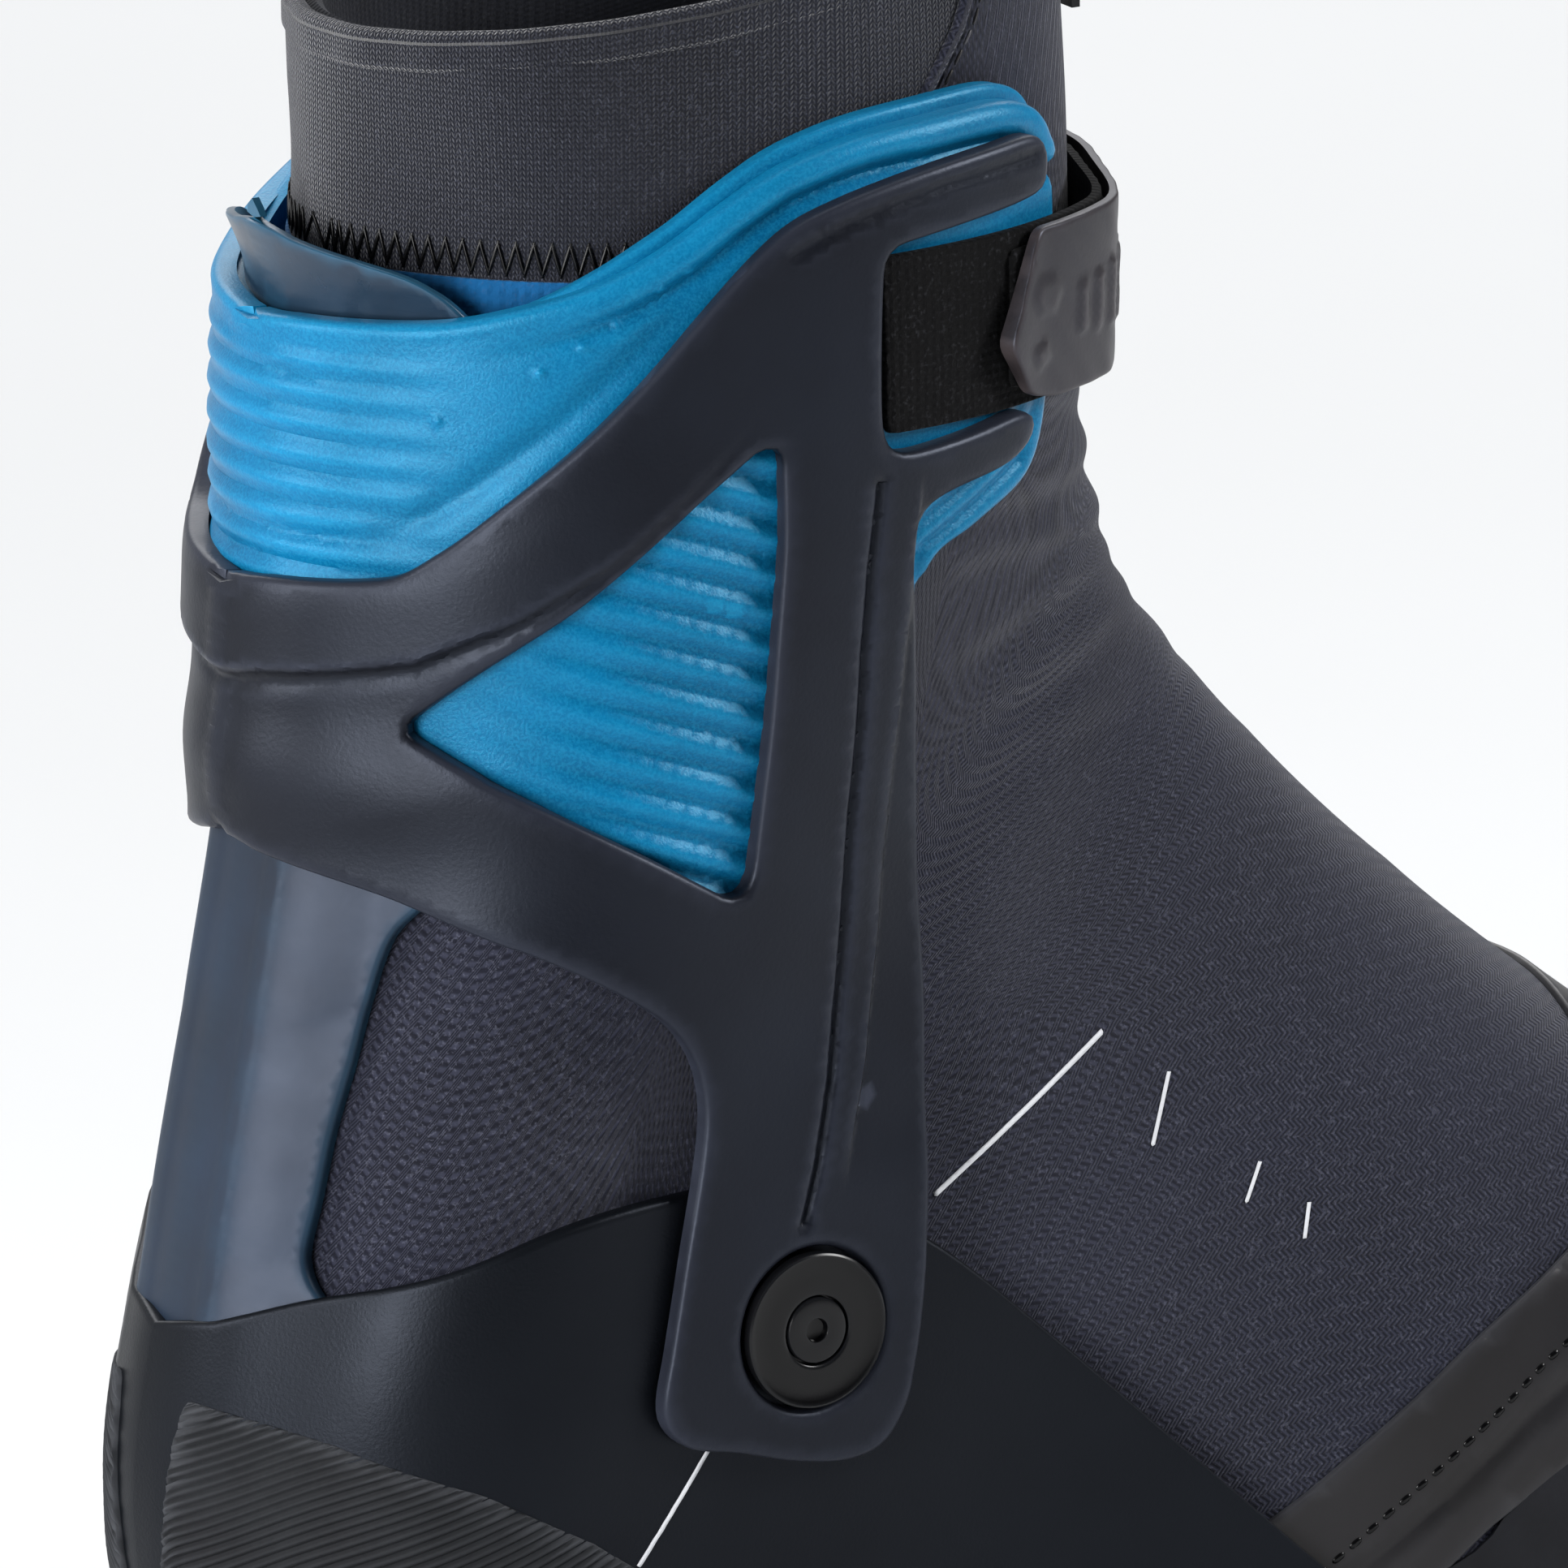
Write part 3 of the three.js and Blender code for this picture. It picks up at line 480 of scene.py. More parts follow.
def from_front(at):
    """Front domain: arc from the front centre line (positive on the medial side) and height on the last."""
    whole = np.interp(at[:, 1], LEVELS, LEVEL_ARC[:, -1])
    q = look_up(LEVEL_ARC, LEVELS, at[:, 1], whole - np.abs(at[:, 0]))
    t = np.where(at[:, 0] < 0, -1, 1) * t_of(q)
    return section_at(t, at[:, 1]), t


def from_foot(at):
    """Foot domain: FOOT for each section, and arc from the top line (positive medial)."""
    q = look_up(STATION_ARC, STATIONS, at[:, 0] / FOOT, np.abs(at[:, 1]))
    return at[:, 0] / FOOT, np.where(at[:, 1] < 0, -1, 1) * t_of(-q)


def arc_of(table, rows, row, q):
    """The reverse of look_up, for one point."""
    f = float(np.clip((row - rows[0]) / (rows[1] - rows[0]), 0, len(rows) - 1.001))
    i = int(f)
    return float(mix(np.interp(q, Q, table[i]), np.interp(q, Q, table[i + 1]), f - i))


def rear_height(z, offset):
    """Height on the last under the point at height z of the lifted surface, on the rear centre line."""
    s = np.linspace(9, LAST, 500)
    p = last(s, math.pi)
    lifted = p + normal(s, np.full(s.shape, math.pi)) * (offset(p)[:, None] if callable(offset) else offset)
    return float(np.interp(z, lifted[:, 2], p[:, 2]))


def leg(points, offset, low=7.0):
    """Side-view points (lateral) in the leg domain; those past the rear edge fall on the centre line."""
    out = []
    for (x, z), (s, q) in zip(points, locate(points, offset, low)):
        p = last(s, t_of(q))
        r = lift(np.array(s), t_of(q), offset(p) if callable(offset) else offset)
        if q < -0.95 and x <= r[0] + 0.3:
            out.append((0.0, rear_height(z, offset)))
        else:
            out.append((arc_of(LEVEL_ARC, LEVELS, p[2], q), float(p[2])))
    return np.array(out)


def front(points, offset):
    """Side-view points (lateral side) in the front domain."""
    at = leg(points, offset)
    at[:, 0] -= np.interp(at[:, 1], LEVELS, LEVEL_ARC[:, -1])
    return at


def foot(points, offset):
    """Side-view points (lateral side) in the foot domain, which puts the lateral side at negative arcs."""
    spots = locate(points, offset, 0, 11)
    return np.array([(FOOT * s, -arc_of(STATION_ARC, STATIONS, s, -q)) for s, q in spots])


def mirrored(half, axis=0):
    """Closed outline from its half, which starts and ends on the centre line."""
    other = np.array(half)[::-1].copy()
    other[:, axis] *= -1
    return np.vstack([half, other[1:-1] if abs(other[0, axis]) < 1e-6 else other])


def around(line, offsets, step=1.1):
    """The polyline with parallel copies, all resampled, to give creases and beads clean mesh lines."""
    p = resample(np.asarray(line, float), step, False)
    along = np.gradient(p, axis=0)
    along /= np.maximum(np.linalg.norm(along, axis=1, keepdims=True), 1e-9)
    side = np.stack([-along[:, 1], along[:, 0]], -1)
    return [p + side * o for o in offsets]


def both(lines):
    """The lines and their mirror images."""
    return [l for l in lines] + [l * np.array([-1, 1]) for l in lines]


def fold(at):
    """Domain points with the medial side folded over the lateral one."""
    return np.stack([np.abs(at[:, 0]), at[:, 1]], -1)


def bump(d, width):
    return np.exp(-(np.asarray(d) / width) ** 2)


def side_of(q, line):
    """Signed height above a polyline that runs across the domain from left to right."""
    order = np.argsort(line[:, 0])
    return q[:, 1] - np.interp(q[:, 0], line[order, 0], line[order, 1])


def tube(name, s, t, offset, radius, n):
    """Soft round bead along a path of (section, angle) on the surface."""
    centre, nrm = lift(s, t, offset), normal(s, t)
    along = np.gradient(centre, axis=0)
    along /= np.linalg.norm(along, axis=1, keepdims=True)
    side = np.cross(along, nrm)
    side /= np.linalg.norm(side, axis=1, keepdims=True)
    a = np.linspace(0, TURN, n, endpoint=False)
    rings = centre[:, None, :] + radius * (np.cos(a)[None, :, None] * nrm[:, None, :]
                                           + np.sin(a)[None, :, None] * side[:, None, :])
    step = length_along(rings.mean(1))
    uv = np.stack(np.broadcast_arrays(step[:, None], (a * radius)[None, :]), -1)
    return loft(name, rings, caps=True, uv=uv, sharp=50)


# ---------------------------------------------------------------- materials
class Look:
    """Small helper round a node material."""

    def __init__(self, name):
        self.m = bpy.data.materials.new(name)
        self.m.use_nodes = True
        self.t = self.m.node_tree
        self.b = self.t.nodes["Principled BSDF"]
        self.pos = self.add("ShaderNodeTexCoord").outputs["Object"]
        self.uv = self.add("ShaderNodeTexCoord").outputs["UV"]

    def add(self, kind, **props):
        n = self.t.nodes.new(kind)
        for k, v in props.items():
            setattr(n, k, v)
        return n

    def put(self, socket, value):
        if hasattr(value, "is_output") or isinstance(value, bpy.types.NodeSocket):
            self.t.links.new(value, socket)
        else:
            socket.default_value = value

    def noise(self, scale, vector=None, detail=3):
        n = self.add("ShaderNodeTexNoise")
        self.put(n.inputs["Vector"], vector or self.pos)
        n.inputs["Scale"].default_value = scale
        n.inputs["Detail"].default_value = detail
        n.inputs["Roughness"].default_value = 0.55
        return n.outputs["Fac"]

    def math(self, op, a, b=0.0, c=0.0):
        n = self.add("ShaderNodeMath", operation=op)
        for socket, value in zip(n.inputs, (a, b, c)):
            self.put(socket, value)
        return n.outputs[0]

    def axis(self, vector):
        n = self.add("ShaderNodeSeparateXYZ")
        self.put(n.inputs[0], vector)
        return n.outputs

    def ramp(self, fac, stops):
        n = self.add("ShaderNodeValToRGB")
        self.put(n.inputs[0], fac)
        e = n.color_ramp.elements
        while len(e) < len(stops):
            e.new(0.5)
        for k, (p, c) in zip(e, stops):
            k.position = p
            k.color = (*(c if hasattr(c, "__len__") else (c, c, c)), 1)
        return n.outputs["Color"]

    def mix(self, fac, a, b):
        n = self.add("ShaderNodeMix", data_type="RGBA")
        self.put(n.inputs[0], fac)
        self.put(n.inputs[6], a if not isinstance(a, tuple) else (*a, 1))
        self.put(n.inputs[7], b if not isinstance(b, tuple) else (*b, 1))
        return n.outputs[2]

    def clouds(self, scale, detail, low, high, dark, light):
        """Two tones in soft clouds."""
        cloud = self.noise(scale, detail=detail)
        return self.mix(self.ramp(cloud, [(low, 0.0), (high, 1.0)]), rgb(dark), rgb(light))

    def over(self, color, value, none, whole, share, code):
        """Another tone laid over the colour as the value goes from none to whole."""
        stops = sorted([(none, 0.0), (whole, 1.0)])
        return self.mix(self.math("MULTIPLY", self.ramp(value, stops), share), color, rgb(code))

    def rows(self, value, pitch):
        """Triangle wave from 0 to 1."""
        return self.math("DIVIDE", self.math("PINGPONG", value, pitch), pitch)

    def bump(self, height, distance, strength):
        n = self.add("ShaderNodeBump")
        n.inputs["Strength"].default_value = strength
        n.inputs["Distance"].default_value = distance
        self.put(n.inputs["Height"], height)
        return n.outputs[0]

    def pointiness(self):
        return self.add("ShaderNodeNewGeometry").outputs["Pointiness"]

    def edge_wear_and_highlight(self):
        """Bright on convex edges: edge wear, and a painted edge highlight."""
        return self.ramp(self.pointiness(), [(0.505, 0.0), (0.56, 1.0)])

    def close(self, color, rough, bumped=None, metallic=0.0, spec=0.5, sheen=0.0, coat=0.0, tint=(1, 1, 1)):
        self.put(self.b.inputs["Base Color"], color if not isinstance(color, tuple) else (*color, 1))
        self.put(self.b.inputs["Roughness"], rough)
        self.b.inputs["Metallic"].default_value = metallic
        self.b.inputs["Specular IOR Level"].default_value = spec
        self.b.inputs["Specular Tint"].default_value = (*tint, 1)
        self.b.inputs["Sheen Weight"].default_value = sheen
        self.b.inputs["Sheen Roughness"].default_value = 0.45
        self.b.inputs["Coat Weight"].default_value = coat
        self.b.inputs["Coat Roughness"].default_value = 0.1
        if bumped is not None:
            self.put(self.b.inputs["Normal"], bumped)
        return self.m


def rgb(hex_code):
    """Linear colour of a #rrggbb code."""
    v = [int(hex_code[i:i + 2], 16) / 255 for i in (1, 3, 5)]
    return tuple(c / 12.92 if c <= 0.04045 else ((c + 0.055) / 1.055) ** 2.4 for c in v)


def plastic(name, dark, light, rough, grain, depth, worn_and_lit_edge, spec=0.5, tint=(0.72, 0.8, 1)):
    """Moulded plastic with a fine grain, paler on convex edges from wear and from a painted edge highlight.
    """
    k = Look(name)
    color = k.clouds(38, 4, 0.35, 0.7, dark, light)
    fine = k.noise(grain, detail=2)
    color = k.mix(k.math("MULTIPLY", fine, 0.25), color, rgb(light))
    # Paler on convex edges: partly wear, partly a painted highlight along the edges, strongest on the chassis
    # rim.
    color = k.mix(k.math("MULTIPLY", k.edge_wear_and_highlight(), 0.55), color, rgb(worn_and_lit_edge))
    r = k.math("MULTIPLY_ADD", k.noise(120), 0.16, rough - 0.08)
    return k.close(color, r, k.bump(fine, depth, 0.6), spec=spec, tint=tint)


def foam():
    """Moulded foam, with painted shade in its hollows and a painted highlight on its crests."""
    k = Look("blue_foam")
    color = k.clouds(55, 3, 0.3, 0.72, "#00517a", "#006391")
    # Painted shade in the hollows (#002e4a) and a painted highlight on the crests (#1286b2), both from
    # pointiness.
    painted_shade_and_highlight = k.pointiness()
    color = k.over(color, painted_shade_and_highlight, 0.495, 0.4, 0.7, "#002e4a")
    color = k.over(color, painted_shade_and_highlight, 0.51, 0.56, 0.4, "#1286b2")
    fine = k.noise(2600, detail=2)
    color = k.over(color, fine, 0.4, 0.62, 0.16, "#2aa0c8")
    r = k.math("MULTIPLY_ADD", k.noise(300), 0.12, 0.34)
    return k.close(color, r, k.bump(fine, 0.00008, 0.7), spec=0.45, tint=(0.28, 0.74, 1))


def softshell():
    """Woven chevrons: short zigzags in rows, from the UV in metres."""
    k = Look("dark_fabric")
    u, v, _ = k.axis(k.uv)
    leg_width = 0.00125
    zig = k.math("PINGPONG", u, leg_width)
    wavy = k.math("MULTIPLY_ADD", k.noise(90), 0.00015, k.math("ADD", v, zig))
    thread = k.rows(wavy, 0.00042)
    rib = k.math("DIVIDE", zig, leg_width)
    color = k.clouds(24, 4, 0.3, 0.75, "#0f1018", "#1a1c29")
    color = k.over(color, thread, 0.3, 0.75, 0.6, "#353746")
    color = k.over(color, rib, 0.16, 0.0, 0.3, "#15161c")
    speck = k.noise(2400, detail=1)
    color = k.over(color, speck, 0.55, 0.72, 0.35, "#5b5d6c")
    height = k.math("ADD", thread, k.math("MULTIPLY", speck, 0.3))
    return k.close(color, 0.85, k.bump(height, 0.00012, 0.8), sheen=0.25, spec=0.1)


def knit():
    """Plain knit: columns of V stitches."""
    k = Look("knit_fabric")
    u, v, _ = k.axis(k.uv)
    column_width = 0.0005
    column = k.math("PINGPONG", u, column_width)
    lean = k.math("SUBTRACT", v, k.math("MULTIPLY", column, 1.1))
    row = k.rows(lean, 0.00036)
    wale = k.math("DIVIDE", column, column_width)
    off_centre = k.math("ABSOLUTE", k.math("MULTIPLY_ADD", wale, 2.0, -1.0))
    height = k.math("MULTIPLY", row, k.math("SUBTRACT", 1.15, off_centre))
    color = k.clouds(30, 3, 0.3, 0.7, "#101118", "#1a1c25")
    color = k.over(color, height, 0.2, 0.9, 0.7, "#2e313d")
    speck = k.noise(3300, detail=1)
    color = k.over(color, speck, 0.56, 0.7, 0.35, "#565967")
    return k.close(color, 0.95, k.bump(height, 0.00035, 0.9), sheen=0.3, spec=0.1)


def woven(name, dark, light, pitch, fuzz, sheen=0.12):
    """Plain weave with stray fibres."""
    k = Look(name)
    u, v, _ = k.axis(k.uv)
    cell = k.math("MULTIPLY", k.rows(u, pitch), k.rows(v, pitch))
    speck = k.noise(1700)
    color = k.clouds(60, 3, 0.3, 0.7, dark, light)
    color = k.over(color, speck, 0.56, 0.74, fuzz, "#55565c")
    height = k.math("MULTIPLY_ADD", speck, 0.9, cell)
    return k.close(color, 0.85, k.bump(height, 0.0002, 0.8), sheen=sheen, spec=0.1)


def rubber(name, dark, light, rough=0.8):
    k = Look(name)
    fine = k.noise(1100)
    color = k.clouds(45, 4, 0.35, 0.7, dark, light)
    color = k.mix(k.math("MULTIPLY", k.edge_wear_and_highlight(), 0.5), color, rgb("#4b4d52"))
    return k.close(color, k.math("MULTIPLY_ADD", fine, 0.15, rough - 0.08), k.bump(fine, 0.0001, 0.7),
                   spec=0.2)


def steel():
    k = Look("steel")
    brushed = k.add("ShaderNodeMapping")
    k.put(brushed.inputs[0], k.pos)
    brushed.inputs["Scale"].default_value = (60, 3200, 60)
    streak = k.noise(1, brushed.outputs[0], detail=3)
    color = k.mix(streak, rgb("#85888d"), rgb("#c3c6ca"))
    return k.close(color, k.math("MULTIPLY_ADD", streak, 0.25, 0.18), k.bump(streak, 0.00002, 0.5),
                   metallic=1.0)


def carbon():
    k = Look("carbon")
    x, y, _ = k.axis(k.pos)
    a, b = (k.math("PINGPONG", k.math(op, x, y), 0.0015) for op in ("ADD", "SUBTRACT"))
    tow = k.math("GREATER_THAN", a, b)
    color = k.mix(tow, rgb("#15161a"), rgb("#34363c"))
    return k.close(color, 0.35, k.bump(tow, 0.00004, 0.5), coat=0.6)


M = {name: plastic(name, *values) for name, *values in (
    ("cuff_plastic", "#0a0b10", "#11141b", 0.4, 1700, 0.00006, "#3a3e4b", 0.25),
    # The chassis's pale edge colour #8a8e98 paints a thin highlight along its rim, besides wear.
    ("chassis_plastic", "#040507", "#080a0d", 0.4, 2200, 0.00006, "#8a8e98", 0.19),
    ("spine_plastic", "#0d1520", "#142131", 0.46, 900, 0.00002, "#1f4f68", 0.42),
    ("spoiler_plastic", "#0f1e2b", "#162b3c", 0.3, 900, 0.00003, "#20607e", 0.6),
    ("satin_film", "#111113", "#19191c", 0.4, 1500, 0.00003, "#55565c", 0.35, (1, 0.96, 0.94)),
    ("hard_black", "#020203", "#050506", 0.24, 1200, 0.00001, "#1c1d20", 0.25, (1, 1, 1)),
    ("flap_face", "#1b1718", "#262122", 0.42, 1300, 0.00005, "#463f40", 0.4),
    ("reflective", "#9a9ca2", "#c9cbd0", 0.45, 1500, 0.00003, "#e6e7ea"))}
M.update({name: woven(name, *values) for name, *values in (
    ("liner_fabric", "#191a1f", "#25272e", 0.0006, 0.2), ("mesh_blue", "#0d3d63", "#16619a", 0.0008, 0.15),
    ("strap_fabric", "#030304", "#070708", 0.0006, 0.16, 0.03))})
M.update(blue_foam=foam(), dark_fabric=softshell(), knit_fabric=knit(), steel=steel(), carbon=carbon(),
         sole_rubber=rubber("sole_rubber", "#131417", "#1f2124"),
         toe_rubber=rubber("toe_rubber", "#0e0f12", "#191a1f", 0.6))
SLOTS = {m["slot"] for m in frame["record"]["materials"]}


def finish_piece(obj, body, replaces, material, slot=None):
    """Material, body and the CAD nodes the piece stands for; the material slot is worked out but not set."""
    obj.data.materials.append(M[material])
    slot = slot or (material if material in SLOTS else None)
    if body:
        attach(obj, body)
    if replaces:
        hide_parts(*replaces)
    return obj


# ---------------------------------------------------------------- cuff frame
CUFF_WALL = 2.6


def cuff_face(p):
    return cuff_in(p) + CUFF_WALL


def half_outline(points, face, step):
    """Half an outline in the leg domain from side-view points, its two ends on the rear centre line."""
    half = leg(points, face)
    return np.vstack([[0, half[0, 1]], curve(half[1:-1], step, closed=False), [0, half[-1, 1]]])


CUFF_HALF = [(0, 172.6), (12, 172.9), (18.5, 174), (23, 176.7), (27.5, 180.7), (32, 185.6), (41, 194.4),
             (50, 203.2), (57, 210.4), (64, 216.9), (70, 221.1), (77, 223.5), (85, 225.2), (92, 226.2),
             (100, 226.9), (107.5, 227.2), (110, 225.5), (110.5, 222.5), (109.5, 219.8), (106, 218.9),
             (96, 217.9), (87, 216.9), (84.3, 216.2), (83, 214), (82.6, 204), (82.8, 194), (84, 190.6),
             (87, 189.4), (97, 190), (106, 191), (108.6, 190.3), (109, 188.3), (107.5, 186.2), (104, 184.5),
             (95, 183), (91, 181.6), (89.2, 179), (89, 174), (91, 155), (92.5, 138), (93.6, 120), (93, 105),
             (92.3, 88), (91, 75), (89, 65), (85.5, 59.5), (80, 57.8), (72, 58.8), (64, 61), (56, 63),
             (52.4, 67.5), (53.6, 76), (55.5, 86), (58, 98), (59, 106), (58, 112), (55, 117), (50, 121.2),
             (40, 127), (31, 131), (23, 135), (13, 140.5), (0, 141.5)]
TRIANGLE = [(24.5, 157), (41, 173), (57, 187), (65, 192.8), (68, 192.4), (68.4, 180), (67.6, 165),
            (66.5, 148), (65.6, 137), (64.6, 134.3), (62, 134), (51, 140.5), (41, 146), (33, 150.5)]
PIVOT_X, PIVOT_Z = 74.5, 76
HOLE_RADIUS = 10.7
cuff_half = half_outline(CUFF_HALF, cuff_face, 0.9)
triangle = corners(leg(TRIANGLE, cuff_face), 2.6)
pivot_hole = leg([(PIVOT_X + HOLE_RADIUS * math.cos(a), PIVOT_Z + HOLE_RADIUS * math.sin(a))
                  for a in np.linspace(0, TURN, 40, endpoint=False)], cuff_face)
band_crease = leg([(9, 156), (13, 158), (18, 161), (26, 166), (35, 172), (46, 180), (55, 188), (63, 196),
                   (72, 205), (78, 212)], cuff_face)
arm_groove = leg([(82.5, 186), (81.4, 175), (80.9, 164), (80.4, 143), (79.6, 121), (77.9, 108), (75.5, 97),
                  (73.4, 90)], cuff_face)
arm_facet = leg([(88.5, 186), (87, 154), (85.4, 125), (83.2, 110), (79, 93)], cuff_face)
top_step = leg([(70, 217.6), (77, 220.4), (85, 222.4), (92, 223.6), (100, 224.3), (108, 224.7)], cuff_face)


def cuff_detail(spot, at):
    """Rear band with its crease and swell, groove and facet of the arm, step of the top edge, mould line."""
    q = fold(at)
    x, z = spot[:, 0], spot[:, 2]
    over = side_of(q, band_crease)
    back = 1 - smooth(20, 48, x)
    h = 0.4 * smooth(-0.8, 0.8, over) * (1 - smooth(42, 66, x))
    h = h + (1.1 * np.clip(1 - over / 15, 0, 1) - 0.6 * smooth(8, 15, over)) * smooth(-0.9, 0.9, over) * back
    h = h - 0.4 * bump(over + 1.2, 1.0) * (1 - smooth(42, 66, x))
    h = h + 1.3 * bump(z - 149, 7) * back
    h = h - 0.95 * bump(distance(q, arm_groove, False), 0.6)
    h = h - 0.6 * smooth(0, 0.8, arm_side(x, z)) * smooth(92, 104, z) * (1 - smooth(178, 188, z))
    h = h - 0.4 * bump(distance(q, top_step, False), 0.55)
    h = h + 0.3 * bump(at[:, 0], 0.3)
    return h


def arm_side(x, z):
    """Distance forward of the facet line on the arm."""
    line = np.array([(78, 90), (83, 110), (85.2, 125), (86.8, 154), (88.5, 183)], float)
    return x - np.interp(z, line[:, 1], line[:, 0])


cuff_lines = both(around(band_crease, (-2.0, -1.2, -0.6, 0, 0.6, 1.2), 0.9)
                  + around(arm_groove, (-1.1, -0.6, -0.25, 0, 0.25, 0.6, 1.1), 0.9)
                  + around(arm_facet, (-0.1, 0.2, 0.5, 0.9), 0.9)
                  + around(top_step, (-0.9, -0.35, 0.35, 0.9)))
cuff_lines += [np.stack([np.full(62, o), np.linspace(142, 173, 62)], -1) for o in (-0.7, -0.3, 0, 0.3, 0.7)]
cuff_holes = [triangle, triangle * [-1, 1], pivot_hole, pivot_hole * [-1, 1]]
cuff = patch("cuff_shell", mirrored(cuff_half), cuff_holes, from_leg, cuff_face, CUFF_WALL, edge=1.0,
             step=1.25, detail=cuff_detail, lines=cuff_lines)
finish_piece(cuff, "cuff", ["cuff_frame"], "cuff_plastic")

# ---------------------------------------------------------------- cuff pad and spoiler
PAD_HALF = [(-5, 206.5), (14, 206.5), (21, 207.5), (29, 209.5), (37, 211.8), (46, 215), (54, 219), (62, 224),
            (70, 228), (80, 230.6), (92, 231.6), (104, 231.6), (110.5, 229.4), (113.6, 225), (114.6, 210),
            (114, 190), (111, 181.5), (101, 176.5), (93.5, 173), (88, 160), (87, 145), (86, 128), (62, 116.4),
            (57, 116.4), (52, 120.2), (40, 127.2), (31, 132.2), (22, 139), (-5, 144)]


WINDOW_X, WINDOW_SLOPE = 24.5, 0.923
RIB_SLOPE, RIB_PITCH = 0.34, 4.9
FRONT_GROOVES = (3.0, 6.4, 9.8)


def pad_face(p):
    return pad_out(p) - 0.7 * smooth(175, 207, p[..., 2]) * rearness(p[..., 0])


def pad_wall(p):
    return mix(1.4, mix(3.8, 3, rearness(p[..., 0])), smooth(165, 205, p[..., 2]))


pad_half = half_outline(PAD_HALF, pad_face, 1.0)
pad_rim = pad_half[:int(np.argmax(pad_half[:, 0] + 0.2 * pad_half[:, 1]))]


def wave(value, pitch):
    """Rounded ribs, from -0.5 to 0.5."""
    return np.abs(np.sin(math.pi * value / pitch)) ** 1.5 - 0.5


def window_edge(x):
    """Height of the upper edge of the triangle window."""
    return 157 + WINDOW_SLOPE * (x - WINDOW_X)


def pad_detail(spot, at):
    """Ribs behind and in the window, rolled rim, sill, front grooves and moulded dots."""
    q = fold(at)
    x, z = spot[:, 0], spot[:, 2]
    window = 1 - smooth(-3, 3, z - window_edge(x))
    edge = distance(q, pad_rim, False)
    h = wave(z, 4.1) * (1 - smooth(15, 33, x)) * (1 - window) * smooth(3, 6, edge)
    h = h + 1.2 * wave(z + RIB_SLOPE * x, RIB_PITCH) * smooth(30, 56, x) * window * (1 - smooth(69, 72, x))
    roll = smooth(30, 54, x)
    h = h - 1.3 * bump(edge - 5.2, 1.15) * roll
    h = h + 0.8 * bump(edge - 2.4, 2.0) * roll + 0.25 * bump(edge - 1.0, 1.2) * (1 - roll)
    h = h - 0.8 * bump(distance(q, PAD_SILL, False), 1.7) * smooth(8, 34, x) * (1 - smooth(84, 92, x))
    front_edge = distance(q, PAD_FRONT, False)
    for off in FRONT_GROOVES:
        h = h - 0.8 * bump(front_edge - off, 1.0) * (1 - smooth(186, 194, z))
    for c in PAD_DOTS:
        h = h + 0.4 * np.clip(1 - (np.hypot(q[:, 0] - c[0], q[:, 1] - c[1]) / 0.7) ** 2, 0, 1)
    return h


PAD_SILL = leg([(5, 174.6), (13, 175.4), (20, 178.4), (26, 182.6), (32, 188.4), (41, 197.2), (50, 206),
                (57, 213), (64, 219), (71, 223.4), (80, 225.9), (92, 227.2)], pad_face)
PAD_DOTS = leg([(29.1, 197), (39.1, 203.8), (43.9, 207.2), (47.8, 209.9), (53.3, 213.9), (57, 215.8)],
               pad_face)
PAD_FRONT = leg([(114.6, 205), (114, 190), (111, 181.5), (101, 176.5), (93.5, 173)], pad_face)
groove_lines = [o + e for o in FRONT_GROOVES for e in (-0.9, -0.45, 0, 0.45, 0.9)]
pad_lines = both(around(pad_rim, (-1.0, -1.9, -2.8, -3.6, -4.2, -4.7, -5.2, -5.7, -6.2, -6.8), 0.9)
                 + around(PAD_SILL, (-1.2, -0.6, 0, 0.6, 1.2), 0.9) + around(PAD_FRONT, groove_lines, 0.9)
                 + around(PAD_FRONT, [-o for o in groove_lines], 0.9))
dot_ring = np.array([[math.cos(a), math.sin(a)] for a in np.arange(0, 6.28, 0.79)])
pad_lines += both([c + r * dot_ring for c in PAD_DOTS for r in (0.05, 0.4, 0.8)])
for c in np.arange(156, 214, RIB_PITCH / 4):
    x = np.linspace(24, 70, 70)
    z = c - RIB_SLOPE * x
    seen = (z < window_edge(x) + 2) & (z > 152 - 0.5 * (x - WINDOW_X))
    if seen.sum() > 4:
        pad_lines += both([leg(list(zip(x[seen], z[seen])), pad_face)])
pad = patch("cuff_pad_foam", mirrored(pad_half), [], from_leg, pad_face, pad_wall, edge=1.2, step=1.0,
            detail=pad_detail, lines=pad_lines)
finish_piece(pad, "cuff", ["cuff_pad"], "blue_foam")

lip_half = pad_rim + np.stack([0 * pad_rim[:, 0], -0.8 + 2.7 * smooth(26, 46, pad_rim[:, 0])], -1)
lip_low = pad_rim - [0, 9.0]
lip = patch("cuff_pad_lip", mirrored(np.vstack([lip_half, lip_low[::-1]])), [], from_leg,
            lambda p: np.maximum(pad_out(p) - 2.6, 1.0), 2.2, edge=0.9, step=1.3)
finish_piece(lip, "cuff", (), "blue_foam")

SPOILER_HALF = [(-5, 222.6), (15, 222.2), (19, 221), (23.5, 218.6), (28.5, 214.6), (33.5, 209.6), (36.5, 203),
                (35, 190), (30, 180), (-5, 180)]


def spoiler_face(p):
    """Distance to the outer face of the spoiler, whose top flares out."""
    return 2.6 + 3.8 * smooth(185, 215, p[..., 2]) + 3.6 * smooth(208, 221, p[..., 2]) ** 1.3


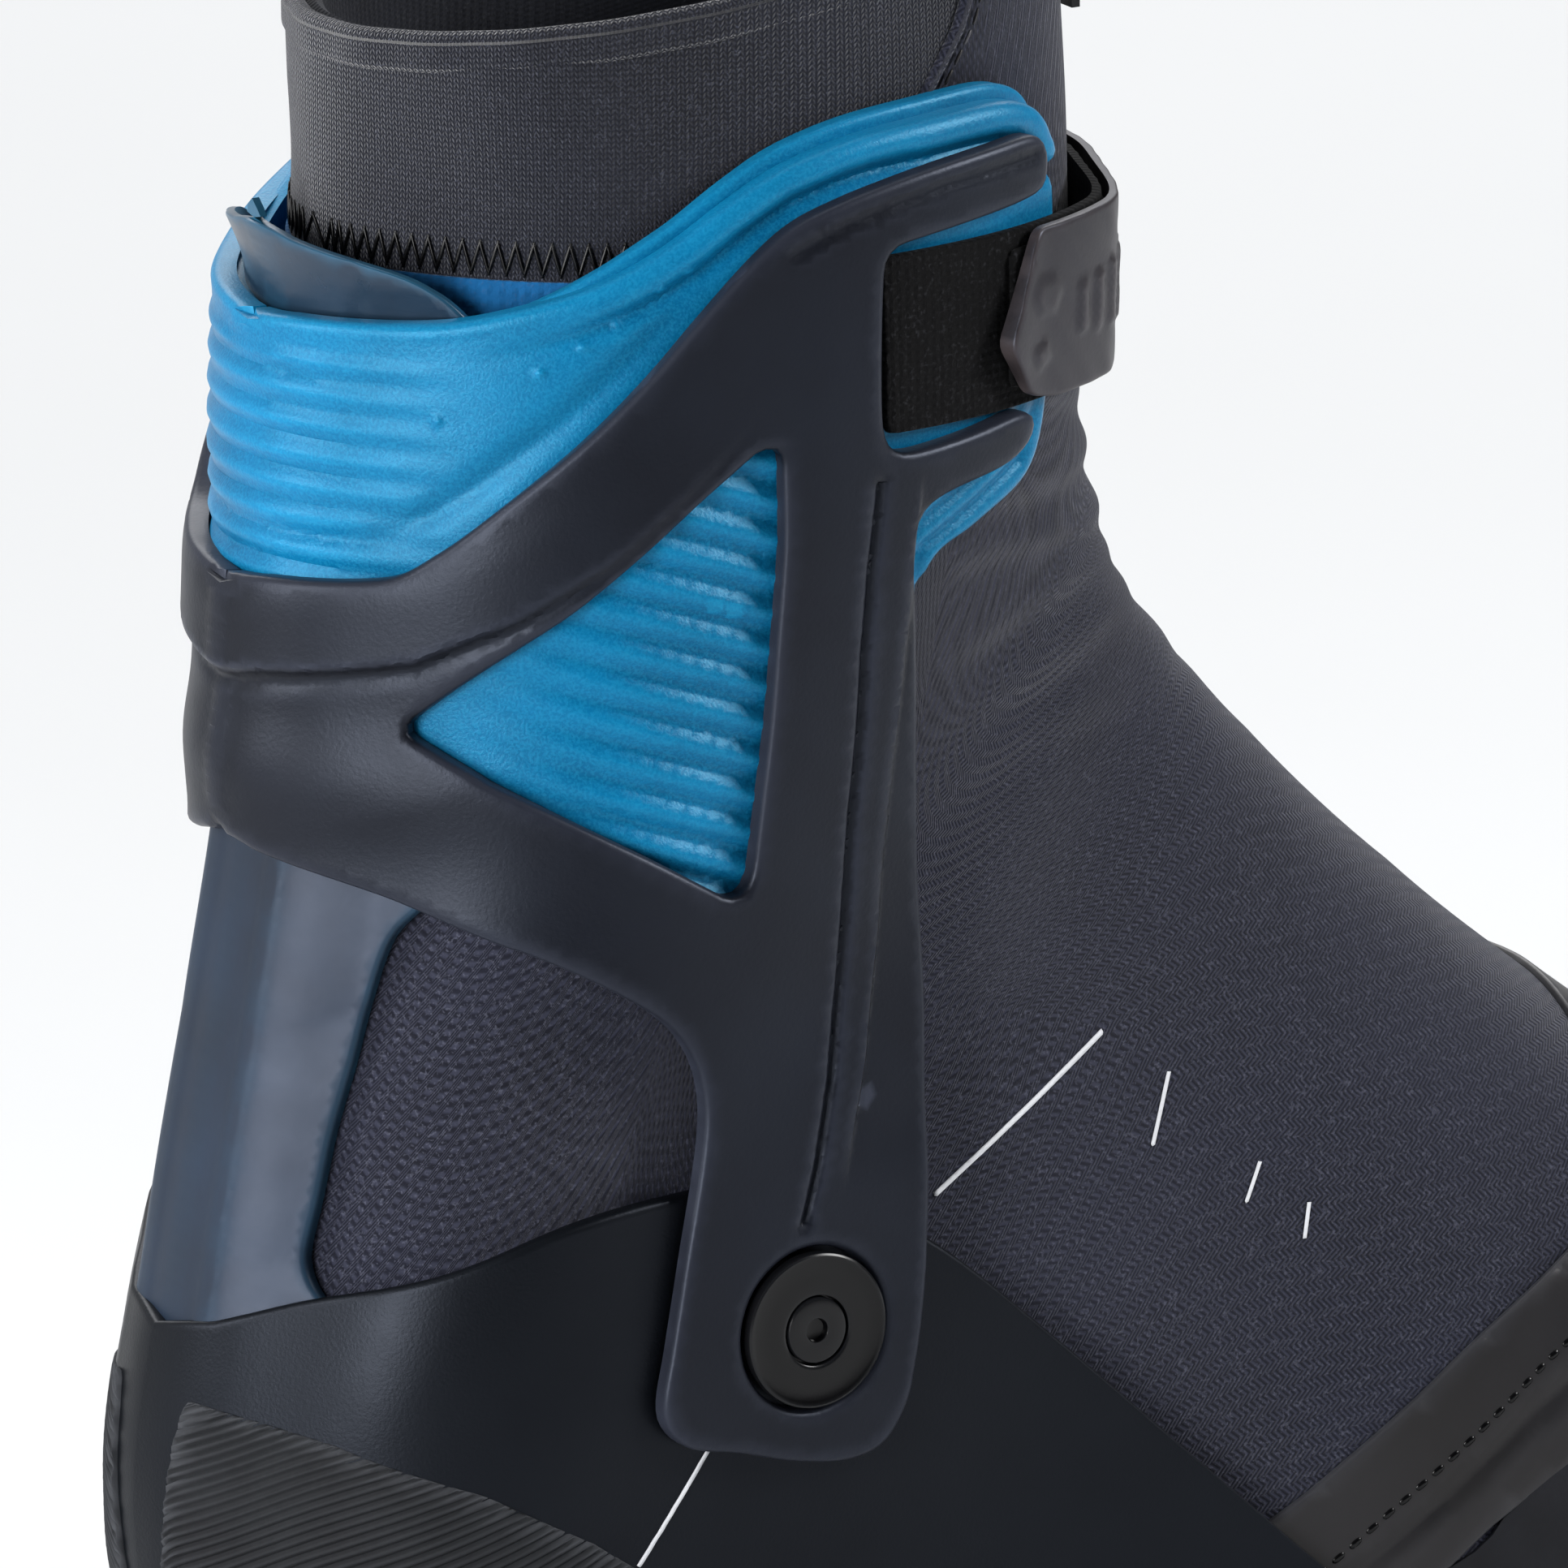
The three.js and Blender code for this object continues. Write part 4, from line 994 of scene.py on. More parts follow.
spoiler_half = half_outline(SPOILER_HALF, lambda p: 2.6 + 3.8 * smooth(185, 215, p[..., 2]), 0.9)
spoiler = patch("spoiler_shell", mirrored(spoiler_half), [], from_leg, spoiler_face, 1.4, edge=0.6, step=1.1,
                detail=lambda spot, at: 0.25 * bump(at[:, 0], 0.5) - 0.3 * bump(np.abs(at[:, 0]) - 12, 0.8))
finish_piece(spoiler, "cuff", ["rear_spoiler"], "spoiler_plastic", "spine_plastic")

# ---------------------------------------------------------------- spine over the heel tendon
SPINE_HALF = [(-10, 147.5), (31, 147.5), (30, 140), (29, 134.5), (25.5, 129), (23.2, 121), (20.8, 112),
              (18.6, 104), (16.6, 95), (15, 88), (15.2, 84), (17, 79), (19, 72), (19.5, 64.5), (-10, 64)]


RIDGE = 7.6  # arc from the centre line to the edge between the spine's rear and its flanks


def spine_face(p):
    return 2.5 + 0 * p[..., 0]


def spine_detail(spot, at):
    """A rear facet and two flanks, with the edges between them softened."""
    u = np.abs(at[:, 0])
    rear, flank = 1.5 * (u / RIDGE) ** 2, 1.5 * (1 - (u - RIDGE) / 12)
    return np.maximum(-np.log(np.exp(-5 * rear) + np.exp(-5 * flank)) / 5, 0)


spine_half = half_outline(SPINE_HALF, spine_face, 0.9)
spine_lines = [np.stack([np.full(70, side * (RIDGE + e)), np.linspace(66, 146, 70)], -1)
               for side in (-1, 1) for e in (-1.5, -0.8, -0.3, 0.3, 0.8, 1.5)]
spine = patch("tendon_spine", mirrored(spine_half), [], from_leg, spine_face, 2.1, edge=0.9, step=1.2,
              detail=spine_detail, lines=spine_lines, sharp=60)
finish_piece(spine, None, ["achilles_spine"], "spine_plastic")
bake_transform(spine)


# ---------------------------------------------------------------- soft upper
def collar_line(x):
    """Height of the collar's top edge in side view."""
    return 243 + (x - 27) * 0.1346


def seam_line(x):
    """Height of the seam between gaiter and knit in side view."""
    return np.interp(x, [-50, 77.3, 86.4, 99.9, 112.5], [211.8, 211.8, 222.7, 240.8, 270.4])


def height_to(t, line, start=225.0):
    """Height on the last where the line crosses each angle t."""
    z = np.full(np.shape(t), start)
    for _ in range(12):
        z = 0.5 * z + 0.5 * line(last(section_of(t, z), t)[..., 0])
    return z


# height, slope, depth, width and start (x) of each wrinkle
CREASES = ((196, -0.20, 0.5, 2.6, 92), (184, -0.16, 0.8, 2.4, 92), (174, -0.10, 1.1, 2.6, 90),
           (165.5, -0.03, 1.3, 2.5, 92), (157, 0.06, 1.1, 2.4, 94), (149, 0.14, 0.8, 2.4, 96),
           (140, 0.2, 0.5, 2.4, 96))


def creases(p, t):
    """Wrinkles of the softshell at the front of the ankle and over the instep."""
    x, z = p[..., 0], p[..., 2]
    a = np.abs(np.sin(t)) * np.sign(np.cos(t)) + 0 * t
    h = np.zeros(x.shape)
    for zc, slope, depth, width, x0 in CREASES:
        d = z - zc - slope * (x - 118) - 1.2 * np.sin(0.11 * x + zc)
        fade = smooth(x0, x0 + 16, x)
        h -= depth * bump(d, width) * fade
        h += 0.55 * depth * bump(d - 3.6, 2.2) * fade
    soft = 0.35 * np.sin(0.06 * x + 0.09 * z) * np.sin(0.045 * z - 0.08 * x + 1.2)
    h = 0.55 * h * np.clip(1.25 - 0.75 * a, 0.35, 1.2) * smooth(128, 146, z + 0.2 * (150 - x))
    return h + soft * smooth(40, 60, z)


NT, NS = 260, 330  # columns and rows of the gaiter
COLLAR_START = 250.0
FIRST = 0.06  # its first section, just off the toe
ts = np.linspace(0, TURN, NT, endpoint=False)
z_top = np.minimum(height_to(ts, seam_line), height_to(ts, collar_line, COLLAR_START))
gs = FIRST + (section_of(ts, z_top) - FIRST) * np.linspace(0, 1, NS)[:, None]
gt = np.broadcast_to(ts, gs.shape)
gp = last(gs, gt)
out_g = gp + normal(gs, gt) * creases(gp, gt)[..., None]
in_g = lift(gs, gt, np.full(gs.shape, -1.5))
guv = np.stack([running(gp), running(gp.swapaxes(0, 1)).T], -1)
gaiter = loft("softshell_gaiter", np.concatenate([in_g[::6], in_g[-1:], out_g[::-1], in_g[:1]]),
              uv=np.concatenate([guv[::6], guv[-1:], guv[::-1], guv[:1]]), sharp=60)
finish_piece(gaiter, None, ["softshell_foot", "softshell_flex", "softshell_shaft"], "dark_fabric")


def bend(obj):
    """Bakes the transform into the mesh; the blend from the lower boot to the cuff, 31 to 53 mm above the
    pivots along the leaning leg, is not made.
    """
    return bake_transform(obj)


bend(gaiter)

# knit collar with its folded hem
kt = np.linspace(0, TURN, 360, endpoint=False)
k_high = height_to(kt, collar_line, COLLAR_START)
k_low = np.minimum(height_to(kt, seam_line) + 0.4, k_high - 0.8)
k_high = k_high - 0.4


def knit_grid(offset):
    z = k_low[None] + (k_high - k_low)[None] * np.linspace(0, 1, 34)[:, None]
    t = np.broadcast_to(kt, z.shape)
    s = section_of(t, z)
    swell = 0.35 * np.sin(7 * t + 0.05 * z) * smooth(216, 226, z) + offset
    return last(s, t) + normal(s, t) * swell[..., None], np.stack([ROUND * t, z], -1)


(go, uo), (gi, ui) = knit_grid(0.15), knit_grid(-1.7)
knit_obj = loft("collar_knit", np.concatenate([gi, go[::-1], gi[:1]]),
                uv=np.concatenate([ui, uo[::-1], ui[:1]]), sharp=60)
finish_piece(knit_obj, "cuff", ["knit_collar"], "knit_fabric")


hem_t = np.linspace(0, TURN, 260, endpoint=False)
hem_z = height_to(hem_t, collar_line, COLLAR_START)
prof = rounded_bar(-4.4, 1.0, -2.0, 0.55, r=1.2, n=7, across=7)
prof_round = np.cumsum(np.linalg.norm(np.diff(prof, axis=0, prepend=prof[:1]), axis=1))
hem_rings, hem_uv = [], []
for t, z0 in zip(hem_t, hem_z):
    t_row = np.full(len(prof), t)
    hem_rings.append(lift(section_of(t_row, z0 + prof[:, 1]), t_row, prof[:, 0] + 0.12 * math.sin(23 * t)))
    hem_uv.append(np.stack([ROUND * t_row, prof_round], -1))
hem_rings.append(hem_rings[0])
hem_uv.append(hem_uv[0] + [ROUND * TURN, 0])
hem = loft("collar_hem", np.array(hem_rings), uv=np.array(hem_uv), sharp=60)
finish_piece(hem, "cuff", (), "knit_fabric")


# ---------------------------------------------------------------- sole chassis
RIM = np.array([(-12, 75), (1, 75.5), (6, 78.5), (15, 83), (26, 87.5), (40, 93), (54, 95), (74, 94.5),
                (94, 84), (111, 70), (135, 48), (155, 29.5), (166, 22.5), (200, 20.5), (262, 21.5), (282, 26),
                (300, 31)])
RIM_CURVE = curve(RIM, 1.0, closed=False)
SOLE = np.array([(8, -20), (4, 0), (8, 20), (20, 30), (50, 34), (100, 34), (150, 39), (190, 46), (220, 48.5),
                 (250, 46), (272, 36), (288, 20), (292, 0), (288, -20), (272, -36), (250, -46), (220, -48.5),
                 (190, -46), (150, -39), (100, -34), (50, -34), (20, -30)], float)
SOLE_CURVE = curve(SOLE, 1.5)
WALL = 2.45


LOWEST = 13.55  # height of the last's flat bottom, just above it


def angle_at(s, z):
    """Angle t in (0, pi) where section s has height z (z falls as t grows)."""
    a, b = np.zeros(np.shape(s)), np.full(np.shape(s), math.pi)
    for _ in range(30):
        m = (a + b) / 2
        above = last(s, m)[..., 2] > z
        a, b = np.where(above, m, a), np.where(above, b, m)
    return (a + b) / 2


LOW_S = np.linspace(0, 14, 1400)
LOW_Z = last(LOW_S, np.full(LOW_S.shape, math.pi))[:, 2]
DIP = int(np.argmin(LOW_Z))


def contour_ends(z):
    """The sections where the contour at height z meets the bottom line, at the toe and at the heel."""
    return np.interp(-z, -LOW_Z[:DIP + 1], LOW_S[:DIP + 1]), np.interp(z, LOW_Z[DIP:], LOW_S[DIP:])


def level(w, z):
    """Point (section, angle) of the contour at height z, from the toe (w = 0) to the heel (w = 1)."""
    w, z = np.broadcast_arrays(np.asarray(w, float), np.asarray(z, float))
    zc = np.maximum(z, LOWEST)
    toe, heel = contour_ends(zc)
    s = toe + w * (heel - toe)
    return s, angle_at(s, zc)


def wall(w, z, offset):
    """Point of the lifted surface on that contour."""
    s, t = level(w, z)
    p = last(s, t)
    return p + normal(s, t) * (offset(p) if callable(offset) else offset)[..., None]


def outline_ray(points, centre):
    """Where rays from centre through the points leave the sole outline, in plan."""
    d = points - centre
    d /= np.linalg.norm(d, axis=1, keepdims=True)
    a, b = SOLE_CURVE, np.roll(SOLE_CURVE, -1, axis=0)
    out = []
    for c, v in zip(centre, d):
        e = b - a
        den = v[0] * e[:, 1] - v[1] * e[:, 0]
        den = np.where(np.abs(den) < 1e-9, 1e-9, den)
        ac = a - c
        r = (ac[:, 0] * e[:, 1] - ac[:, 1] * e[:, 0]) / den
        f = (ac[:, 0] * v[1] - ac[:, 1] * v[0]) / den
        ok = (r > 0) & (f >= -1e-6) & (f <= 1 + 1e-6)
        out.append(c + v * (r[ok].min() if ok.any() else 40))
    return np.array(out)


def chassis_shell(name):
    """Sole slab, outer wall, rolled rim and inner wall: one skin of rows, up from the bottom and down."""
    columns, rows = 190, 34
    w = np.linspace(0, 1, columns)
    zr = np.full(columns, 40.0)
    for _ in range(14):
        x = wall(w, zr, chassis_out)[:, 0]
        zr = 0.4 * zr + 0.6 * np.interp(x, RIM_CURVE[:, 0], RIM_CURVE[:, 1])
    zr = np.maximum(zr, 19.5)
    base = wall(w, np.full(columns, 17.0), chassis_out)[:, :2]
    centre = np.stack([np.clip(base[:, 0], 40, 246), 0 * w], -1)
    base[:, 1] = np.maximum(base[:, 1], 1e-6)
    edge = outline_ray(base, centre)
    out = (edge - centre) / np.linalg.norm(edge - centre, axis=1, keepdims=True)
    grid = []

    def slab(z, back):
        p = edge - out * back
        grid.append(np.stack([p[:, 0], np.maximum(p[:, 1], 0), np.full(columns, z)], -1))

    grid.append(np.stack([edge[:, 0] * 0.999, 0 * w, np.full(columns, 5.0)], -1))
    for back in (8.0, 3.0, 1.2):
        slab(5.0, back)
    for z, back in ((5.15, 0.55), (5.6, 0.15), (6.2, 0), (8.6, 0), (11.0, 0), (11.7, 0.15), (12.1, 0.5),
                    (12.4, 0.85)):
        slab(z, back)
    low = np.full(columns, 14.2)
    for f in np.linspace(0, 1, rows):
        g = 1 - (1 - f) ** 1.35
        z = low + (zr - 1.4 - low) * g
        p = wall(w, np.maximum(z, 13.8), chassis_out)
        reach = ((p[:, :2] - centre) * out).sum(1)
        slab_reach = np.linalg.norm(edge - centre, axis=1) - 0.9 - 0.03 * (z - 12)
        grow = np.maximum(slab_reach - reach, 0) * (1 - smooth(20, 40, z))
        p[:, :2] += out * grow[:, None]
        p[:, 2] = z if f < 0.02 else p[:, 2]
        grid.append(p)
    for dz, bite in ((-0.9, 0.0), (-0.45, 0.12), (-0.15, 0.42), (0.0, 0.95), (0.0, 1.7), (-0.15, 2.1),
                     (-0.5, 2.35), (-1.1, WALL)):
        grid.append(wall(w, zr + dz, lambda p, b=bite: chassis_out(p) - b))
    for f in np.linspace(0, 1, 8)[1:]:
        z = mix(zr - 1.2, np.full(columns, 16.0), f)
        grid.append(wall(w, z, lambda p: chassis_out(p) - WALL))
    grid.append(np.stack([np.clip(base[:, 0], 12, 280), 0 * w, np.full(columns, 13.4)], -1))
    half = np.array(grid)
    half[:, 0, 1] = 0
    half[:, -1, 1] = 0
    other = half[:, ::-1].copy()
    other[..., 1] *= -1
    full = np.concatenate([half, other[:, 1:-1]], 1)
    height = running(full.swapaxes(0, 1)).T
    uv = np.stack([np.broadcast_to(length_along(full[14]), height.shape), height], -1)
    return loft(name, full, uv=uv, sharp=50, flip=True)


chassis = chassis_shell("sole_chassis")
finish_piece(chassis, "lower_boot", ["chassis_shell"], "chassis_plastic")

# ---------------------------------------------------------------- heel panels
WALL_Z = np.arange(14.0, 101.0, 1.0)
WALL_W = np.linspace(1, 0, 401)
WALL_ARC = running(wall(WALL_W[None, :] + 0 * WALL_Z[:, None], WALL_Z[:, None] + 0 * WALL_W[None, :],
                        lambda p: 0 * p[..., 0]))


def from_wall(at):
    """Wall domain: arc from the heel centre line (positive on the lateral side) and height on the last."""
    q = look_up(WALL_ARC, WALL_Z, at[:, 1], np.abs(at[:, 0]))
    s, t = level(np.interp(q, Q, WALL_W), at[:, 1])
    return s, np.where(at[:, 0] < 0, t, TURN - t)


def on_wall(points, offset):
    """Side-view points (lateral side) in the wall domain."""
    out = []
    for (x, z), (s, q) in zip(points, locate(points, offset, 0, 13)):
        p = last(s, t_of(q))
        toe, heel = contour_ends(p[2])
        w = (s - toe) / (heel - toe)
        out.append((arc_of(WALL_ARC, WALL_Z, p[2], float(np.interp(-w, -WALL_W, Q))), float(p[2])))
    return np.array(out)


RIB = np.array([math.cos(0.42), math.sin(0.42)])  # direction of the heel panel's ribs
panel_outline = corners(on_wall([(2.5, 69.5), (14, 65.5), (29, 59.5), (44, 51.5), (57, 43), (60, 34),
                                 (56, 26), (30, 26), (12, 26), (4, 30)], chassis_out), 1.0)
ALONG, ACROSS = 2.4, 0.26  # mesh steps along and across the ribs
RIB_METRIC = np.array([[RIB[0] / ALONG, RIB[1] / ALONG], [-RIB[1] / ACROSS, RIB[0] / ACROSS]])
SIDES = ((1, "lateral"), (-1, "medial"))


def rib_detail(spot, at):
    across = np.abs(at[:, 0]) * -RIB[1] + at[:, 1] * RIB[0]
    return 0.5 * np.abs(np.sin(math.pi * across / 1.12)) - 0.2


for side, name in SIDES:
    metric = RIB_METRIC * [[side, 1], [side, 1]]
    panel = patch(f"rib_panel_{name}", panel_outline * [side, 1], [], from_wall, lambda p: chassis_out(p)
                  + 0.15, 0.9, edge=0.25, step=1.0, detail=rib_detail, metric=metric, sharp=60)
    finish_piece(panel, "lower_boot", [f"heel_panel_{name}"], "sole_rubber")

# ---------------------------------------------------------------- overlays on the forefoot
def cover_face(p):
    return 1.3 + 0 * p[..., 0]


band_half = foot([(203.3, 92), (200.5, 84), (197, 76.5), (185, 68), (173, 60), (164, 53), (150, 43),
                  (138.5, 35), (146, 29), (163, 27.5), (176, 36.5), (192, 46.8), (206, 56.5), (222, 68),
                  (228, 73.5), (231, 76.8)], cover_face)
band_half[0, 1] = band_half[-1, 1] = 0
band_edge = band_half[1:8]


def band_detail(spot, at):
    d = distance(np.stack([at[:, 0], -np.abs(at[:, 1])], -1), band_edge, False)
    return -0.35 * bump(d - 9.5, 0.8) + 0.2 * bump(d - 12.5, 1.6)


band_curve = curve(band_half[1:-1], 1.0, closed=False)
band_outline = mirrored(np.vstack([band_half[:1], band_curve, band_half[-1:]]), 1)
band_lines = around(band_edge, (9.0, 9.5, 10.0), 1.0) + around(band_edge, (-9.0, -9.5, -10.0), 1.0)
band = patch("vamp_overlay", band_outline, [], from_foot, cover_face, 0.95, edge=0.45, step=1.3,
             detail=band_detail, lines=[l for o in band_lines for l in (o, o * [1, -1])])
finish_piece(band, "lower_boot", ["vamp_band"], "satin_film")


def forward(s, t, d):
    """Like lift, but leaning forward at the toe, where the last's normal is ill defined."""
    n = normal(s, t) + np.array([1.3, 0, 0]) * (1 - smooth(0, 0.9, s))[..., None]
    return last(s, t) + n / np.linalg.norm(n, axis=-1, keepdims=True) * np.asarray(d, float)[..., None]


def cap_low(s):
    """Height of the rand's lower edge."""
    x = 291 - np.interp(s, [0, 1, 2, 3, 4, 5, 6, 7], [0, 2, 8, 23, 46, 78, 113, 153])
    return np.maximum(np.interp(x, [150, 200, 262, 283, 291, 300], [22.0, 22.6, 23.6, 28.2, 30.3, 31]), 20)


def cap_span(s):
    low = np.maximum(cap_low(s), last(s, math.pi)[..., 2] + 0.05)
    return angle_at(s, low)


rear_cut = locate([(232, 76), (228.3, 72.8), (222.4, 68.2), (206.4, 57.4), (192.3, 47.8), (176.2, 37.4),
                   (165, 29.2), (162.5, 25)], cover_face, 0, 9)
cut_s = np.array([r[0] for r in rear_cut])
cut_v = np.clip(t_of(np.array([r[1] for r in rear_cut])) / cap_span(cut_s), 0, 1)
cut_v[0], cut_v[-1] = 0, 1
order = np.argsort(cut_v)
CV = np.linspace(-1, 1, 161)  # share of the way round, from one lower edge to the other
cap_from = np.interp(np.abs(CV), cut_v[order], cut_s[order])


def cap_rows(offset, count, lines=False):
    """Rows of the rand from its rear edge to the toe; the outer face has moulded lines and a rounded edge."""
    f = (1 - np.linspace(1, 0, count))[:, None]
    s = cap_from[None, :] * (1 - f) + 0.003 * f
    t = CV[None, :] * cap_span(s)
    d = np.full(s.shape, float(offset))
    if lines:
        p = last(s, t)
        for x0, slope in ((214, 0.5), (222, 0.42), (231, 0.36), (243, 0.25)):
            d -= 0.3 * bump(p[..., 2] - 24 - (p[..., 0] - x0) * -0.55 - 16, 0.5) * (p[..., 0] > x0 - 30)
        d += 0.8 * (1 - smooth(24, 31, p[..., 2] - 0.06 * (p[..., 0] - 240))) * smooth(205, 225, p[..., 0])
    edge = np.minimum(np.broadcast_to(f, s.shape) * cap_from * FOOT, (1 - np.abs(CV)) * 60)
    d -= np.where(edge < 0.6, 0.45 * (1 - edge / 0.6) ** 2, 0) if lines else 0
    return forward(s, t, d), np.stack([s * FOOT, CV * 60 + 0 * s], -1)


cap_out, cap_uv = cap_rows(1.3, 120, True)
cap_in, cap_uv_in = cap_rows(0.35, 30)
toe_rand = loft("toe_rand", np.concatenate([cap_in[::-1], cap_out]), closed=False,
                uv=np.concatenate([cap_uv_in[::-1], cap_uv]), sharp=45)
finish_piece(toe_rand, "lower_boot", ["toe_cap"], "toe_rubber", "chassis_plastic")


# ---------------------------------------------------------------- strap
STRAP_LOW, STRAP_HIGH = 192.2, 215.2
FLAP_LIFT = 3.5


def flap_face(p):
    return strap_wrap(p) + FLAP_LIFT


def band_patch(name, x0, y_end, lift_by, thick, z0=STRAP_LOW, z1=STRAP_HIGH, side=-1):
    """Flat webbing round the front: from side-view x0 on one side to y_end near or past the centre line."""
    start = float(front([(x0, (z0 + z1) / 2)], lambda p: strap_wrap(p) + lift_by + thick)[0, 0])
    whole = np.array([(start, z0), (y_end, z0), (y_end, z1), (start, z1)])
    return patch(name, corners(whole * [-side, 1] if side > 0 else whole, 1.2), [], from_front,
                 lambda p: strap_wrap(p) + lift_by + thick, thick, edge=0.4, step=1.2, detail=nap, sharp=50)


def nap(spot, at):
    """Fuzz of the webbing."""
    u, v = at[:, 0], at[:, 1]
    return 0.12 * np.sin(u * 2.1) * np.sin(v * 1.7) + 0.08 * np.sin(u * 5.3 + v * 3.1)


loop_piece = band_patch("strap_loop_band", 83.5, 10, 0, 1.2)
finish_piece(loop_piece, "cuff", ["loop_band"], "strap_fabric")
hook_piece = band_patch("strap_hook_patch", 104, -4, 1.5, 0.5, 195, 213)
finish_piece(hook_piece, "strap", ["hook_patch"], "strap_fabric")

tip = front([(101.5, 201), (106.5, 193.5), (112, STRAP_LOW)], flap_face)
top = front([(107.5, STRAP_HIGH)], flap_face)
flap_outline = np.vstack([tip, [[4.6, STRAP_LOW], [4.6, STRAP_HIGH]], top])
FLAP_X = float(tip[0, 0])


def shape_height(at, centre, sides, radius, turn=0.0):
    """1 inside a regular polygon, with a soft edge."""
    v = at - centre
    a = np.arctan2(v[:, 1], v[:, 0]) + turn
    k = math.pi / sides
    r = np.hypot(v[:, 0], v[:, 1]) * np.cos((a % (2 * k)) - k)
    return 1 - smooth(radius - 0.35, radius + 0.35, r)


def flap_detail(spot, at):
    """Thick tip with a plain raised pattern of two shapes and five bars."""
    h = 1.4 * (1 - smooth(0, 9, at[:, 0] - FLAP_X)) ** 1.5
    h = h + 0.4 * shape_height(at, (FLAP_X + 7.2, 206.5), 6, 2.3)
    h = h + 0.4 * shape_height(at, (FLAP_X + 6.2, 199.0), 4, 1.3, 0.4)
    for k in range(5):
        centre = np.array([FLAP_X + 14.5 + 3.6 * k, 203.5])
        d = np.abs(at - centre)
        h = h + 0.4 * (1 - smooth(0.75, 1.15, d[:, 0])) * (1 - smooth(3.0 + 0.5 * k, 3.5 + 0.5 * k, d[:, 1]))
    return h + 0.05 * np.sin(at[:, 0] * 1.3 + at[:, 1])


flap = patch("strap_flap_soft", corners(flap_outline, 1.4), [], from_front, flap_face, 1.2, edge=0.45,
             step=0.8, detail=flap_detail, sharp=50)
finish_piece(flap, "strap", ["strap_flap"], "flap_face", "strap_fabric")

inner = band_patch("strap_medial_base", 83.5, -10.8, 0, 1.2, side=1)
finish_piece(inner, "cuff", (), "strap_fabric")
middle = band_patch("strap_medial_fold", 98, -14, 0.6, 2.0, side=1)
finish_piece(middle, "cuff", (), "strap_fabric")
outer_layer = band_patch("strap_medial_cover", 98, -5.4, 2.3, 1.2, side=1)
finish_piece(outer_layer, "cuff", ["strap_medial"], "flap_face", "strap_fabric")


# ---------------------------------------------------------------- turned pieces
def turned(name, profile, centre, side, replaces, steps=96, body="lower_boot", material="hard_black"):
    """Turned about an axis along Y, from (radius, distance from the centre plane) pairs."""
    a = np.linspace(0, TURN, steps, endpoint=False)
    rings = [[(centre[0] + r * math.cos(k), side * y, centre[1] + r * math.sin(k)) for k in a] for r,
             y in profile]
    uv = [[(r * k, y) for k in a] for r, y in profile]
    obj = loft(name, np.array(rings), caps=True, uv=uv, sharp=35, flip=side > 0)
    return finish_piece(obj, body, replaces, material)


DISC = [(2.3, 41.8), (9.2, 41.9), (10, 42.2), (10.15, 42.8), (10.15, 43.6), (10.05, 43.95), (9.8, 44.1),
        (9.5, 44.05), (9.1, 43.9), (7.0, 43.95), (5.2, 44.0), (4.85, 43.98), (4.65, 43.85), (4.55, 43.5),
        (4.55, 43.0), (4.5, 42.4), (2.3, 42.4)]
SCREW = [(1.9, 37.4), (1.9, 42.7), (4.0, 42.75), (4.3, 42.95), (4.3, 43.7), (4.15, 43.92), (3.9, 44.0),
         (2.2, 43.95), (1.6, 43.9), (1.5, 43.75), (1.4, 43.0), (0.7, 42.85)]
RIVET = [(1.55, 43.4), (1.6, 46.1), (3.1, 46.1), (3.25, 46.3), (3.1, 46.7), (2.4, 47.05), (1.2, 47.2),
         (0.3, 47.22)]
for side, name in SIDES:
    turned(f"pivot_cap_{name}", DISC + DISC[:1], (PIVOT_X, PIVOT_Z), -side, [f"pivot_disc_{name}"])
    turned(f"pivot_bolt_{name}", SCREW, (PIVOT_X, PIVOT_Z), -side, [f"pivot_screw_{name}"])
for z, name in ((209, "upper"), (198, "lower")):
    turned(f"rivet_{name}", RIVET, (90, z), 1, [f"strap_rivet_{name}"], 48, "cuff", "steel")

# ---------------------------------------------------------------- inside: liner, tongue, footbed
THROAT = 0.37  # half the angle left open in front for the tongue
LT = np.linspace(THROAT, TURN - THROAT, 150)
ls = section_of(LT, height_to(LT, collar_line, COLLAR_START) - 0.6)
UPWARD = 32  # UV millimetres per section


def liner_out(p):
    x, z = p[..., 0], p[..., 2]
    lacing = smooth(96, 122, x) * (1 - smooth(222, 256, x)) * smooth(40, 66, z)
    return mix(-5.2, -2.1, smooth(205, 225, z)) - 2 * lacing


def liner_rows(depth, count):
    """Rows from section 5 up; the inner face, at some depth, is quilted."""
    s = 5.0 + (ls - 5.0) * np.linspace(0, 1, count)[:, None]
    t = np.broadcast_to(LT, s.shape)
    p = last(s, t)
    quilt = 0.25 * np.abs(np.sin(p[..., 2] * math.pi / 12)) ** 0.6 if depth else 0
    return p + normal(s, t) * (liner_out(p) - depth - quilt)[..., None], np.stack([ROUND * t, UPWARD * s], -1)


(lo, lou), (li, liu) = liner_rows(0.0, 60), liner_rows(2.2, 110)
top_roll = (lo[-1] + li[-1]) / 2 + [0, 0, 0.9]
liner = loft("liner_boot", np.concatenate([lo, top_roll[None], li[::-1], lo[:1]]), closed=False,
             uv=np.concatenate([lou, lou[-1:], liu[::-1], lou[:1]]), sharp=60)
finish_piece(liner, None, ["liner_foot", "liner_flex", "liner_shaft"], "liner_fabric")
bend(liner)

